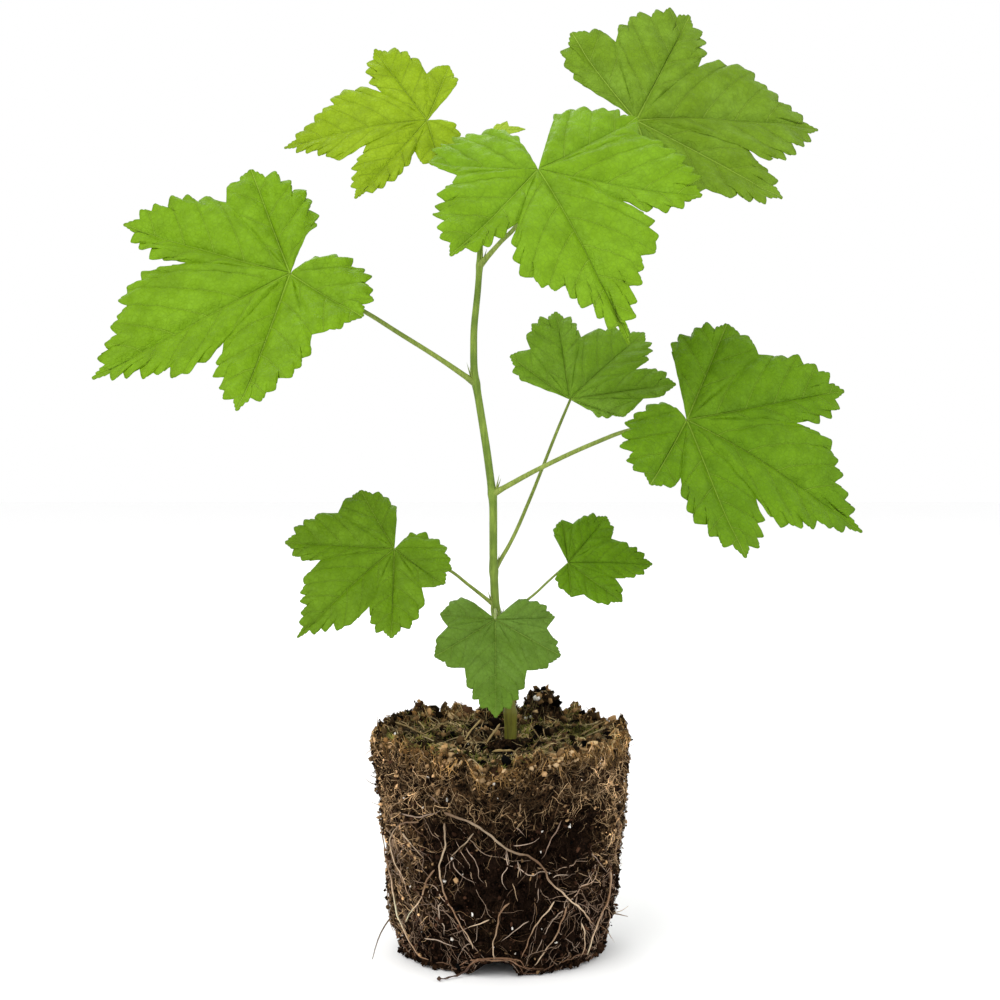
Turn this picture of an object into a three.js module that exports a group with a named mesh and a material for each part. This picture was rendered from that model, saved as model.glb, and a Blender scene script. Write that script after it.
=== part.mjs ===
// Young thimbleberry plant standing on its bare root ball.
// Millimetres, +Z up. The origin is the centre of the root ball's flat underside.
// -Y is the front of the plant and +X is its right side.

import * as THREE from 'three';

// Driving sizes of the root ball
const ballHeight = 103;
const ballRows = 9;
const ballColumns = 40;
const ballProfile = [
  [0, 45.5],
  [4, 48.6],
  [13, 51.5],
  [32, 53.9],
  [51, 55.7],
  [70, 57.2],
  [90, 59.2],
  [103, 60],
];
const ballTopLevel = 100.5;
const sideInset = 0.6;
const rimInset = 1.2;
const rimRise = 2.5;
const wornFront = { depth: 9, halfWidth: 15, reach: 24 };
const compostKnob = { x: 19, y: 40, height: 14, radius: 9 };
const footLevel = 99;
const footRadius = 9.5;
const topRings = [0, 5, 12, 21, 31, 41, 50, 56];

// Clear gap between touching solids
const gap = 0.3;

// The cane's centre line from the soil to the shoot tip, with its diameter
const canePath = [
  { at: [4, 0, footLevel + gap], width: 6.8 },
  { at: [4, 0, 113], width: 5.8 },
  { at: [1, 0, 137], width: 4.5 },
  { at: [-3, 0, 158], width: 4.1 },
  { at: [-4, 0, 182], width: 3.7 },
  { at: [-4, 0, 210], width: 3.7 },
  { at: [-7, 1, 233], width: 3.6 },
  { at: [-10, 1, 252], width: 3.5 },
  { at: [-13, 0, 270], width: 3.4 },
  { at: [-13, 0, 289], width: 3.2 },
  { at: [-11, 0, 307], width: 3.0 },
  { at: [-10, 0, 322], width: 2.8 },
  { at: [-10, 1, 336], width: 2.4 },
  { at: [-9, 2, 348], width: 2.2 },
  { at: [-6, 4, 364], width: 1.8 },
  { at: [-3, 6, 376], width: 1.4 },
];

// Leaves. Angles are in degrees about the joint of the stalk, from the midrib, and reaches are in mm.
// heading, pitch and roll set the blade's plane; curl and droop bend it along and across the midrib.
// fullness tells how far each side of a lobe swells before it runs to the tip, heel to heel.
// stalk gives the height where it leaves the cane, the points it bends through, and its two widths.
const leaves = [
  {
    name: 'left', base: [-96, -12, 314], heading: -165, pitch: -24, roll: -41, curl: 0.12, droop: -0.1,
    length: 100, color: 0x7daa2c,
    lobes: [[-99, 72], [-54, 93], [-1, 101], [51, 86], [109, 49]],
    notches: [[-83, 61], [-43, 53], [27, 49], [80, 46]],
    heels: [[-132, 28], [192, 10]],
    fullness: [1.8, 3.0, 1.4, 1.4, 1.7, 2.1, 1.0, 1.4, 1.4, 1.3],
    shoulders: [[0.55, 0.25], [0.45, 0.22]],
    stalk: { from: 264, bends: [[-28, -3, 275], [-47, -6, 287], [-63, -9, 297]], widths: [2.6, 1.9] },
  },
  {
    name: 'top_left', base: [-35, 25, 387], heading: 178, pitch: 4, roll: -52, curl: 0.26, droop: -0.04,
    length: 67, color: 0x97bc30,
    lobes: [[-101, 37], [-57, 56], [6, 69], [61, 59], [108, 31]],
    notches: [[-84, 31], [-38, 31], [29, 32], [79, 21]],
    heels: [[-118, 27], [183, 10]],
    fullness: [1.0, 3.0, 1.4, 1.6, 1.8, 4.0, 0.8, 1.4, 2.0, 0.8],
    shoulders: [[0.51, 0.22], [0.46, 0.3]],
    stalk: { from: 352, bends: [[-15, 13, 364], [-23, 23, 375]], widths: [1.8, 1.4] },
  },
  {
    name: 'top_front', base: [16, -30, 359], heading: -60, pitch: -39, roll: 17, curl: 0.24, droop: -0.1,
    length: 94, color: 0x7daa2e,
    lobes: [[-113, 49], [-54, 74], [1, 97], [55, 74], [108, 61]],
    notches: [[-100, 38], [-37, 38], [41, 42], [96, 54]],
    heels: [[-182, 23], [146, 42]],
    fullness: [3.0, 1.4, 0.8, 0.8, 1.8, 1.4, 2.2, 1.2, 1.2, 2.6],
    shoulders: [[0.51, 0.35], [0.45, 0.33]],
    stalk: { from: 318, bends: [[-1, -6, 328], [7, -14, 336]], widths: [2.4, 1.9] },
  },
  {
    name: 'top_right', base: [63, 25, 387], heading: 15, pitch: 13, roll: 53, curl: 0.26, droop: -0.08,
    length: 101, color: 0x73a02d,
    lobes: [[-95, 56], [-50, 79], [-6, 97], [49, 81], [101, 60]],
    notches: [[-74, 54], [-30, 56], [32, 53], [81, 50]],
    heels: [[-125, 30], [120, 34]],
    fullness: [1.4, 0.8, 1.2, 1.0, 4.0, 1.85, 1.4, 1.6, 3.0, 1.8],
    shoulders: [[0.34, 0.12], [0.53, 0.27]],
    stalk: { from: 341, bends: [[18, 10, 353], [46, 20, 373]], widths: [2.4, 2] },
  },
  {
    name: 'middle_back', base: [33, 45, 256], heading: 28, pitch: 47, roll: 40, curl: 0.19, droop: -0.1,
    length: 62, color: 0x64913c,
    lobes: [[-80, 30], [-48, 52], [-5, 54], [45, 54], [85, 40]],
    notches: [[-59, 37], [-28, 36], [29, 38], [70, 37]],
    heels: [[-92, 15], [100, 24]],
    fullness: [0.8, 0.8, 3.0, 2.0, 2.0, 1.4, 1.4, 2.4, 2.8, 1.2],
    stalk: {
      from: 177,
      bends: [[4, 6, 190], [13, 18, 209], [19, 27, 223], [27, 38, 242]],
      widths: [1.9, 1.4],
    },
  },
  {
    name: 'right', base: [83, -25, 248], heading: -13, pitch: -23, roll: 42, curl: 0.23, droop: -0.1,
    length: 91, color: 0x5f9120,
    lobes: [[-89, 48], [-49, 79], [0, 92], [47, 84], [95, 64]],
    notches: [[-73, 37], [-27, 50], [33, 54], [75, 57]],
    heels: [[-205, 10], [122, 43]],
    fullness: [0.75, 2.8, 1.6, 1.2, 2.4, 1.65, 1.6, 1.2, 3.0, 1.2],
    shoulders: [[0.45, 0.21], [0.46, 0.29]],
    stalk: { from: 213, bends: [[17, -6, 225], [44, -15, 238], [57, -19, 243]], widths: [2.5, 1.7] },
  },
  {
    name: 'lower_left', base: [-49, -15, 189], heading: -149, pitch: -30, roll: -41, curl: 0.18, droop: -0.08,
    length: 58, color: 0x5f912a,
    lobes: [[-105, 37], [-47, 51], [2, 60], [48, 48], [97, 31]],
    notches: [[-78, 34], [-32, 35], [29, 33], [79, 26]],
    heels: [[-134, 22], [190, 8]],
    fullness: [1.4, 3.0, 1.4, 1.8, 1.2, 1.45, 1.6, 1.6, 2.2, 1.5],
    shoulders: [[0.44, 0.24], [0.47, 0.22]],
    stalk: { from: 161, bends: [[-15, -5, 171], [-25, -9, 179]], widths: [1.7, 1.3] },
  },
  {
    name: 'lower_right', base: [31, 10, 180], heading: 1, pitch: 7, roll: 50, curl: 0.18, droop: -0.03,
    length: 40, color: 0x558720,
    lobes: [[-92, 20], [-47, 33], [-3, 40], [49, 33], [89, 25]],
    notches: [[-75, 20], [-27, 24], [29, 26], [77, 23]],
    heels: [[-140, 8], [106, 18]],
    fullness: [0.8, 0.8, 1.8, 1.4, 1.4, 1.0, 2.0, 1.6, 1.8, 1.8],
    stalk: { from: 154, bends: [[14, 4, 165], [22, 7, 172]], widths: [1.4, 1] },
  },
  {
    name: 'lowest_front', base: [-3, -42, 160], heading: -89, pitch: -46, roll: -1, curl: 0.18, droop: 0.06,
    length: 46, color: 0x5a873c,
    lobes: [[-98, 25], [-55, 33], [0, 47], [58, 34], [95, 27]],
    notches: [[-80, 22], [-29, 29], [28, 30], [80, 24]],
    heels: [[-135, 17], [138, 17]],
    fullness: [1.6, 1.6, 1.4, 3.0, 1.2, 1.2, 3.0, 1.0, 1.8, 1.0],
    stalk: { from: 157, bends: [[-3, -16, 161], [-3, -28, 162]], widths: [1.6, 1.3] },
  },
  {
    name: 'shoot_tip', base: [-3, 7, 379.4], heading: -12, pitch: 8, roll: 55, curl: 0.1, droop: -0.1,
    length: 13, color: 0xa8c850,
    lobes: [[-80, 5], [-45, 8], [0, 14], [45, 8], [80, 5]],
    notches: [[-62, 5], [-20, 7], [20, 7], [62, 5]],
    heels: [[-110, 3], [110, 3]],
    fullness: [1, 1, 1, 1, 1, 1, 1, 1, 1, 1],
    stalk: null,
  },
];
const thicknessShare = 0.014;
const thinnestBlade = 0.6;

// Teeth along the edge: spacing grows with the blade, depth is a share of it, and each leans to its lobe's tip
const toothSpacing = { least: 3.4, perLength: 1 / 22 };
const toothDepth = 0.33;
const toothLean = 0.3;
const sideSamples = 40;

// A shoulder is a side lobe on the main lobe: it narrows there by a step, and then steadily to the tip
const shoulderStep = 0.03;
const shoulderTaper = 1.1;

// Sides of the limbs' sections and the length of their straight stretches
const caneSides = 10;
const caneSteps = 44;
const stalkSides = 7;
const stalkStep = 9;
const seatMargin = 0.1;

// Main roots on the side of the ball: azimuth in degrees from the front towards +X, height in mm.
const frontRoots = [
  {
    name: 'root_thickest',
    width: 2.2,
    path: [
      [-25, 76], [-20, 74], [-12, 71], [-5, 66], [5, 59], [12, 57], [18, 52],
      [23, 44], [32, 36], [37, 32], [42, 28], [47, 24], [52, 20],
    ],
  },
  {
    name: 'root_front_left',
    width: 1.7,
    path: [[-26, 71], [-26, 62], [-28, 54], [-29, 48], [-28, 39], [-23, 30], [-18, 23], [-14, 14]],
  },
  {
    name: 'root_left_outer',
    width: 1.6,
    path: [[-75, 45], [-72, 40], [-66, 30], [-62, 20], [-58, 12], [-52, 6], [-42, 5]],
  },
  {
    name: 'root_left_inner',
    width: 1.5,
    path: [[-39, 70], [-48, 68], [-56, 64], [-62, 57], [-62, 50], [-57, 43], [-52, 36], [-49, 32]],
  },
  { name: 'root_left_slant', width: 1.3, path: [[-50, 63], [-42, 58], [-37, 54]] },
  {
    name: 'root_left_fork',
    width: 1.5,
    path: [[-32, 49], [-37, 43], [-41, 37], [-44, 32], [-48, 28], [-52, 25], [-56, 20]],
  },
  { name: 'root_front_link', width: 1.3, path: [[-13, 67], [-18, 61], [-23, 56]] },
  { name: 'root_front_right', width: 1.5, path: [[31, 32], [30, 27], [28, 21], [24, 16], [20, 11], [16, 6]] },
  { name: 'root_front_middle', width: 1.3, path: [[25, 35], [19, 28], [14, 22], [12, 15], [9, 10]] },
  { name: 'root_front_low', width: 1.5, path: [[3, 36], [0, 33], [-2, 26], [-4, 18], [-4, 10]] },
  { name: 'root_front_cross', width: 1.2, path: [[-6, 28], [-11, 26], [-16, 24]] },
  { name: 'root_right', width: 2, path: [[65, 42], [65, 35], [63, 26], [57, 18], [52, 11], [49, 6]] },
  { name: 'root_right_fork', width: 1.3, path: [[43, 22], [46, 16], [47, 10], [45, 6]] },
];

// Roots round the sides and back, worked out by a rule
const backRoots = { count: 8, firstAzimuth: 102, lastAzimuth: 272, width: 1.6, top: 60, bottom: 4, step: 7 };
const rootSides = 5;
const rootBallRadius = 52;
const rootSpacing = 5;
const rootSeat = 0.45;

const colors = {
  ball: 0x3a2a1c,
  root: 0xb79c78,
  cane: 0x7f8c44,
  stalk: 0x8a944e,
};

const rad = THREE.MathUtils.degToRad;

function vec(a) {
  return new THREE.Vector3(a[0], a[1], a[2]);
}

// A seeded generator, so that every build gives the same plant
function seeded(seed) {
  let state = seed;
  return () => {
    state = (state * 16807) % 2147483647;
    return state / 2147483647;
  };
}

// Height between listed profile points
function along(profile, x) {
  for (let i = 1; i < profile.length; i += 1) {
    const [x0, y0] = profile[i - 1];
    const [x1, y1] = profile[i];
    if (x <= x1) {
      return y0 + ((y1 - y0) * Math.max(0, x - x0)) / (x1 - x0);
    }
  }
  return profile[profile.length - 1][1];
}

// Mesh from lists of vertices and triangles
function solid(name, points, faces, color, roughness) {
  const geometry = new THREE.BufferGeometry();
  const flat = points.flatMap((p) => [p.x, p.y, p.z]);
  geometry.setAttribute('position', new THREE.Float32BufferAttribute(flat, 3));
  geometry.setIndex(faces.flat());
  geometry.computeVertexNormals();
  const material = new THREE.MeshStandardMaterial({ color, roughness, metalness: 0 });
  const mesh = new THREE.Mesh(geometry, material);
  mesh.name = name;
  return mesh;
}

// Radius of the ball's side at an azimuth (radians from the front) and a height
function ballRadius(azimuth, z) {
  const waves = 0.7 * Math.sin(3 * azimuth + z / 17)
    + 0.5 * Math.sin(7 * azimuth - z / 11)
    + 0.4 * Math.sin(2 * azimuth + z / 6);
  const ease = Math.min(1, z / 12);
  return along(ballProfile, z) + waves * ease - sideInset;
}

// Height of the ball's top, lumpy compost with a worn front rim and one knob
function ballTop(x, y) {
  const r = Math.hypot(x, y);
  const lumps = 1.3 * Math.sin(x / 7 + 1) * Math.cos(y / 8)
    + 0.9 * Math.sin(y / 4.6 + x / 9)
    + 0.6 * Math.cos(x / 3.7 - y / 5);
  const rise = rimRise * THREE.MathUtils.smoothstep(r, 34, 56);
  const worn = wornFront.depth * Math.exp(-(((x - 1) / wornFront.halfWidth) ** 4))
    * THREE.MathUtils.smoothstep(-y, 60 - wornFront.reach, 60);
  const toKnob = Math.hypot(x - compostKnob.x, y - compostKnob.y) / compostKnob.radius;
  const knob = compostKnob.height * Math.exp(-(toKnob ** 4));
  const level = ballTopLevel + lumps + rise - worn + knob;
  const toFoot = Math.hypot(x - canePath[0].at[0], y - canePath[0].at[1]);
  const away = THREE.MathUtils.smoothstep(toFoot, footRadius, footRadius + 7);
  return THREE.MathUtils.lerp(footLevel, level, away);
}

function rootBall() {
  const points = [new THREE.Vector3(0, 0, 0)];
  const rows = [];
  const ring = (place) => {
    const start = points.length;
    for (let i = 0; i < ballColumns; i += 1) {
      points.push(place((2 * Math.PI * i) / ballColumns));
    }
    rows.push(start);
  };
  const polar = (r, azimuth, z) => new THREE.Vector3(r * Math.sin(azimuth), -r * Math.cos(azimuth), z);
  const rim = (azimuth) => {
    const r = ballRadius(azimuth, ballHeight) - rimInset;
    return polar(r, azimuth, ballTop(r * Math.sin(azimuth), -r * Math.cos(azimuth)));
  };
  for (let row = 0; row < ballRows; row += 1) {
    const share = row / (ballRows - 1);
    ring((azimuth) => {
      const z = (rim(azimuth).z - 2) * share ** 1.15;
      return polar(ballRadius(azimuth, z), azimuth, z);
    });
  }
  ring(rim);
  for (const r of [...topRings].reverse().filter((size) => size > 0)) {
    ring((azimuth) => polar(r, azimuth, ballTop(r * Math.sin(azimuth), -r * Math.cos(azimuth))));
  }
  points.push(new THREE.Vector3(0, 0, footLevel));
  const faces = [];
  for (let i = 0; i < ballColumns; i += 1) {
    const j = (i + 1) % ballColumns;
    faces.push([0, rows[0] + j, rows[0] + i]);
    for (let k = 1; k < rows.length; k += 1) {
      const [a, b, c, d] = [rows[k - 1] + i, rows[k - 1] + j, rows[k] + j, rows[k] + i];
      faces.push([a, b, c], [a, c, d]);
    }
    faces.push([rows[rows.length - 1] + i, rows[rows.length - 1] + j, points.length - 1]);
  }
  return solid('root_ball', points, faces, colors.ball, 0.95);
}

// A limb of round section that tapers along a curve, with flat ends
function limb(name, stations, sides, color, steps) {
  const curve = new THREE.CatmullRomCurve3(stations.map((s) => s.at.clone()), false, 'centripetal');
  const widths = stations.map((s, i) => [i / (stations.length - 1), s.width]);
  const frames = curve.computeFrenetFrames(steps, false);
  const points = [];
  for (let k = 0; k <= steps; k += 1) {
    const u = k / steps;
    const centre = curve.getPointAt(u);
    const radius = along(widths, curve.getUtoTmapping(u)) / 2;
    for (let i = 0; i < sides; i += 1) {
      const turn = (2 * Math.PI * i) / sides;
      points.push(centre.clone()
        .addScaledVector(frames.normals[k], radius * Math.cos(turn))
        .addScaledVector(frames.binormals[k], radius * Math.sin(turn)));
    }
  }
  const first = points.push(curve.getPointAt(0)) - 1;
  const last = points.push(curve.getPointAt(1)) - 1;
  const faces = [];
  for (let i = 0; i < sides; i += 1) {
    const j = (i + 1) % sides;
    faces.push([first, j, i]);
    faces.push([last, steps * sides + i, steps * sides + j]);
    for (let k = 0; k < steps; k += 1) {
      const [a, b] = [k * sides + i, k * sides + j];
      faces.push([a, b, b + sides], [a, b + sides, a + sides]);
    }
  }
  return solid(name, points, faces, color, 0.7);
}

function cane() {
  const stations = canePath.map((s) => ({ at: vec(s.at), width: s.width }));
  const mesh = limb('cane', stations, caneSides, colors.cane, caneSteps);
  const position = mesh.geometry.getAttribute('position');
  for (let i = 0; i < caneSides; i += 1) {
    position.setZ(i, footLevel + gap);
  }
  return mesh;
}

// Point, direction and radius of the cane at a height
function caneAt(z) {
  const k = canePath.findIndex((s) => s.at[2] > z);
  const [low, high] = [canePath[k - 1], canePath[k]];
  const share = (z - low.at[2]) / (high.at[2] - low.at[2]);
  return {
    at: vec(low.at).lerp(vec(high.at), share),
    direction: vec(high.at).sub(vec(low.at)).normalize(),
    radius: THREE.MathUtils.lerp(low.width, high.width, share) / 2,
  };
}

// Axes of a blade: along the midrib, across it, and up out of its face
function bladeFrame(leaf) {
  const [heading, pitch, roll] = [rad(leaf.heading), rad(leaf.pitch), rad(leaf.roll)];
  const midrib = new THREE.Vector3(
    Math.cos(pitch) * Math.cos(heading),
    Math.cos(pitch) * Math.sin(heading),
    Math.sin(pitch),
  );
  const level = new THREE.Vector3(-Math.sin(heading), Math.cos(heading), 0);
  const upright = midrib.clone().cross(level);
  const across = level.multiplyScalar(Math.cos(roll)).addScaledVector(upright, Math.sin(roll));
  return { midrib, across, up: midrib.clone().cross(across) };
}

function bladeThickness(leaf) {
  return Math.max(thinnestBlade, thicknessShare * leaf.length);
}

// Place a point of the flat blade on its bent surface
function onBlade(leaf, frame, u, v, lift) {
  const sag = -(leaf.curl * u * u + leaf.droop * v * v) / leaf.length;
  return vec(leaf.base)
    .addScaledVector(frame.midrib, u)
    .addScaledVector(frame.across, v)
    .addScaledVector(frame.up, sag + lift);
}

// One side of a lobe, from a notch or heel to the tip, as evenly spaced points
function lobeSide(inner, tip, fullness, spacing, shoulder) {
  const [at, cut] = shoulder ?? [1, 0];
  const fine = [];
  for (let i = 0; i <= sideSamples; i += 1) {
    const s = i / sideSamples;
    const past = THREE.MathUtils.smoothstep(s, at, at + shoulderStep);
    const narrowing = shoulder ? 1 - cut * past - shoulderTaper * Math.max(0, s - at) : 1;
    const angle = rad(tip[0] + (inner[0] - tip[0]) * (1 - s ** fullness) * narrowing);
    const reach = inner[1] + (tip[1] - inner[1]) * s;
    fine.push(new THREE.Vector3(reach * Math.cos(angle), reach * Math.sin(angle), 0));
  }
  const lengths = [0];
  for (let i = 1; i < fine.length; i += 1) {
    lengths.push(lengths[i - 1] + fine[i].distanceTo(fine[i - 1]));
  }
  const total = lengths[lengths.length - 1];
  const count = Math.max(1, Math.round(total / spacing));
  const toShoulder = lengths[Math.round(at * sideSamples)];
  const before = shoulder ? Math.max(1, Math.round((toShoulder / total) * count)) : count;
  const side = [];
  for (let i = 0; i <= count; i += 1) {
    const want = i <= before
      ? (toShoulder * i) / before
      : toShoulder + ((total - toShoulder) * (i - before)) / (count - before);
    let k = 1;
    while (k < lengths.length - 1 && lengths[k] < want) {
      k += 1;
    }
    const share = (want - lengths[k - 1]) / (lengths[k] - lengths[k - 1]);
    side.push(fine[k - 1].clone().lerp(fine[k], share));
  }
  return side;
}

// The blade's edge: ring points from heel to heel, and a tooth or null after each of them
function bladeEdge(leaf) {
  const spacing = toothSpacing.least + leaf.length * toothSpacing.perLength;
  const depth = spacing * toothDepth;
  const ring = [];
  const teeth = [];
  for (let i = 0; i < 10; i += 1) {
    const rising = i % 2 === 0;
    const lobe = leaf.lobes[i >> 1];
    let inner = rising ? leaf.notches[(i >> 1) - 1] : leaf.notches[i >> 1];
    if (i === 0) {
      inner = leaf.heels[0];
    } else if (i === 9) {
      inner = leaf.heels[1];
    }
    const side = lobeSide(inner, lobe, leaf.fullness[i], spacing, leaf.shoulders?.[i - 4]);
    if (!rising) {
      side.reverse();
    }
    for (let k = 0; k < side.length - 1; k += 1) {
      const atStart = k === 0;
      const atEnd = k === side.length - 2;
      const besideNotch = (rising && atStart && i > 0) || (!rising && atEnd && i < 9);
      const besideTip = rising ? atEnd : atStart;
      const run = side[k + 1].clone().sub(side[k]);
      const outward = new THREE.Vector3(run.y, -run.x, 0).normalize();
      const tooth = side[k].clone()
        .addScaledVector(run, rising ? 0.5 + toothLean : 0.5 - toothLean)
        .addScaledVector(outward, depth);
      ring.push(side[k]);
      teeth.push(besideNotch || besideTip ? null : tooth);
    }
    if (i === 9) {
      ring.push(side[side.length - 1]);
    }
  }
  return { ring, teeth };
}

// A leaf blade: a thin toothed slab that fans out from the stalk's joint
function blade(leaf) {
  const frame = bladeFrame(leaf);
  const half = bladeThickness(leaf) / 2;
  const { ring, teeth } = bladeEdge(leaf);
  const shares = leaf.length > 80 ? [0.4, 0.72] : [0.55];
  const flat = [new THREE.Vector3()];
  const rings = [];
  for (const share of [...shares, 1]) {
    rings.push(flat.length);
    flat.push(...ring.map((p) => p.clone().multiplyScalar(share)));
  }
  const toothIndex = teeth.map((tooth) => (tooth ? flat.push(tooth) - 1 : -1));
  const top = [];
  for (let i = 0; i < ring.length - 1; i += 1) {
    top.push([0, rings[0] + i, rings[0] + i + 1]);
    for (let k = 1; k < rings.length; k += 1) {
      const [a, b] = [rings[k - 1] + i, rings[k] + i];
      top.push([a, b, b + 1], [a, b + 1, a + 1]);
    }
    if (toothIndex[i] >= 0) {
      const outer = rings[rings.length - 1] + i;
      top.push([outer, toothIndex[i], outer + 1]);
    }
  }
  const edge = [0, ...rings];
  const outerStart = rings[rings.length - 1];
  for (let i = 0; i < ring.length - 1; i += 1) {
    if (toothIndex[i] >= 0) {
      edge.push(toothIndex[i]);
    }
    edge.push(outerStart + i + 1);
  }
  for (let k = rings.length - 2; k >= 0; k -= 1) {
    edge.push(rings[k] + ring.length - 1);
  }
  const count = flat.length;
  const points = [
    ...flat.map((p) => onBlade(leaf, frame, p.x, p.y, half)),
    ...flat.map((p) => onBlade(leaf, frame, p.x, p.y, -half)),
  ];
  const faces = [...top, ...top.map(([a, b, c]) => [a + count, c + count, b + count])];
  for (let i = 0; i < edge.length; i += 1) {
    const [a, b] = [edge[i], edge[(i + 1) % edge.length]];
    faces.push([a, a + count, b + count], [a, b + count, b]);
  }
  return solid(`leaf_${leaf.name}`, points, faces, leaf.color, 0.6);
}

// A leaf's stalk, clear of the cane at its foot and of the blade at its joint
function stalk(leaf) {
  const { from, bends, widths } = leaf.stalk;
  const source = caneAt(from);
  const first = vec(bends[0]).sub(source.at).normalize();
  const slant = first.angleTo(source.direction);
  const footGap = source.radius + gap + seatMargin + (widths[0] / 2) * Math.abs(Math.cos(slant));
  const foot = source.at.clone().addScaledVector(first, footGap / Math.sin(slant));
  const frame = bladeFrame(leaf);
  const base = vec(leaf.base);
  const last = base.clone().sub(vec(bends[bends.length - 1])).normalize();
  const lean = Math.sqrt(1 - last.dot(frame.up) ** 2);
  const below = bladeThickness(leaf) / 2 + gap + seatMargin + (widths[1] / 2) * lean;
  const joint = base.clone().addScaledVector(frame.up, -below);
  const places = [foot, ...bends.map(vec), joint];
  const stations = places.map((at, i) => ({
    at,
    width: THREE.MathUtils.lerp(widths[0], widths[1], i / (places.length - 1)),
  }));
  const length = new THREE.CatmullRomCurve3(places).getLength();
  const steps = Math.max(5, Math.round(length / stalkStep));
  return limb(`stalk_${leaf.name}`, stations, stalkSides, colors.stalk, steps);
}

// A root that hugs the side of the ball
function surfaceRoot(name, path, width) {
  const spots = path.map(([azimuth, z]) => new THREE.Vector3(rad(azimuth) * rootBallRadius, z, 0));
  const route = new THREE.CatmullRomCurve3(spots, false, 'centripetal');
  const count = Math.max(3, Math.round(route.getLength() / rootSpacing));
  const stations = [];
  for (let i = 0; i <= count; i += 1) {
    const spot = route.getPointAt(i / count);
    const thickness = width * (1 - (0.5 * i) / count);
    const azimuth = spot.x / rootBallRadius;
    const r = ballRadius(azimuth, spot.y) + rootSeat + thickness / 2;
    const at = new THREE.Vector3(r * Math.sin(azimuth), -r * Math.cos(azimuth), spot.y);
    stations.push({ at, width: thickness });
  }
  return limb(name, stations, rootSides, colors.root, count);
}

function rootsRound() {
  const random = seeded(41);
  const roots = [];
  for (let i = 0; i < backRoots.count; i += 1) {
    const share = i / (backRoots.count - 1);
    const home = THREE.MathUtils.lerp(backRoots.firstAzimuth, backRoots.lastAzimuth, share);
    let azimuth = home;
    let z = backRoots.top - 26 * random();
    const path = [];
    while (z > backRoots.bottom) {
      path.push([azimuth, z]);
      azimuth += 10 * (random() - 0.5) + 0.35 * (home - azimuth);
      z -= backRoots.step;
    }
    path.push([azimuth, backRoots.bottom]);
    roots.push(surfaceRoot(`root_round_${i + 1}`, path, backRoots.width * (0.8 + 0.4 * random())));
  }
  return roots;
}

const plant = new THREE.Group();
plant.add(rootBall());
plant.add(cane());
for (const leaf of leaves) {
  plant.add(blade(leaf));
  if (leaf.stalk) {
    plant.add(stalk(leaf));
  }
}
for (const root of frontRoots) {
  plant.add(surfaceRoot(root.name, root.path, root.width));
}
plant.add(...rootsRound());

export default plant;
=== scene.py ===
import math

import bpy
import numpy as np
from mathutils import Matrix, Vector, noise


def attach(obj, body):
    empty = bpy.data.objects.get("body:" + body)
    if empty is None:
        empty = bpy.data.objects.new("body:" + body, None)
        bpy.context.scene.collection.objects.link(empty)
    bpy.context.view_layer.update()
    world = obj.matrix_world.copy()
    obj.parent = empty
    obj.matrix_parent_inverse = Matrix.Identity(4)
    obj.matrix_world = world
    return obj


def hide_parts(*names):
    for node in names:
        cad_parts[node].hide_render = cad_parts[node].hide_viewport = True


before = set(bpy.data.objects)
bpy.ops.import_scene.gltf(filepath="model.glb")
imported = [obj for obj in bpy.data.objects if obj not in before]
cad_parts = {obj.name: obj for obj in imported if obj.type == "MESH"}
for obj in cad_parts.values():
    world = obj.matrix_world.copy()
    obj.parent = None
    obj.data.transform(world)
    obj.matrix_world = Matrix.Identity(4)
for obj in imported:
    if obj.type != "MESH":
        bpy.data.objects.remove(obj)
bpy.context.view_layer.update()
mm = 0.001
dice = np.random.default_rng(7)
print("frame loaded")


# Camera: where the photograph was taken from, in metres and degrees
cameraSet = {"side": -0.0009, "back": 0.9226, "height": 0.2736, "down": 3.93, "lens": 72, "sensor": 36}


def makeCamera():
    data = bpy.data.cameras.new("camera")
    data.lens = cameraSet["lens"]
    data.sensor_width = cameraSet["sensor"]
    data.clip_start = 0.01
    camera = bpy.data.objects.new("camera", data)
    camera.location = (cameraSet["side"], -cameraSet["back"], cameraSet["height"])
    camera.rotation_euler = (math.radians(90 - cameraSet["down"]), 0, 0)
    bpy.context.collection.objects.link(camera)
    bpy.context.scene.camera = camera
    bpy.context.scene.view_settings.view_transform = "Standard"


# Studio: a white sweep and soft light, a little stronger from the upper left
studio = {
    "world": 1.0,
    "floorTone": 0.95,
    "floorSize": 6,
    "lights": [
        {"name": "key", "at": (-0.9, -1.1, 1.5), "size": 1.7, "watts": 23, "tone": (1, 0.995, 0.985)},
        {"name": "fill", "at": (1.3, -0.9, 0.7), "size": 1.4, "watts": 8, "tone": (0.985, 0.995, 1)},
        {"name": "back", "at": (-0.3, 1.3, 1.3), "size": 1.2, "watts": 8, "tone": (1, 1, 1)},
    ],
}


def aimAt(thing, target):
    way = Vector(target) - thing.location
    thing.rotation_euler = way.to_track_quat("-Z", "Y").to_euler()


def makeStudio():
    world = bpy.data.worlds.new("studioWorld")
    bpy.context.scene.world = world
    world.use_nodes = True
    background = world.node_tree.nodes["Background"]
    background.inputs["Color"].default_value = (1, 1, 1, 1)
    background.inputs["Strength"].default_value = studio["world"]
    for plan in studio["lights"]:
        data = bpy.data.lights.new(plan["name"], "AREA")
        data.shape = "DISK"
        data.size = plan["size"]
        data.energy = plan["watts"]
        data.color = plan["tone"]
        light = bpy.data.objects.new(plan["name"], data)
        light.location = plan["at"]
        aimAt(light, (0, 0, 0.2))
        bpy.context.collection.objects.link(light)
    bpy.ops.mesh.primitive_plane_add(size=studio["floorSize"])
    floor = bpy.context.object
    floor.name = "floor"
    material, tree, shader = newMaterial("floorWhite")[:3]
    white = (studio["floorTone"],) * 3 + (1,)
    feed(tree, shader, {"Base Color": white, "Roughness": 0.9, "Specular IOR Level": 0.1})
    floor.data.materials.append(material)


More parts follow.
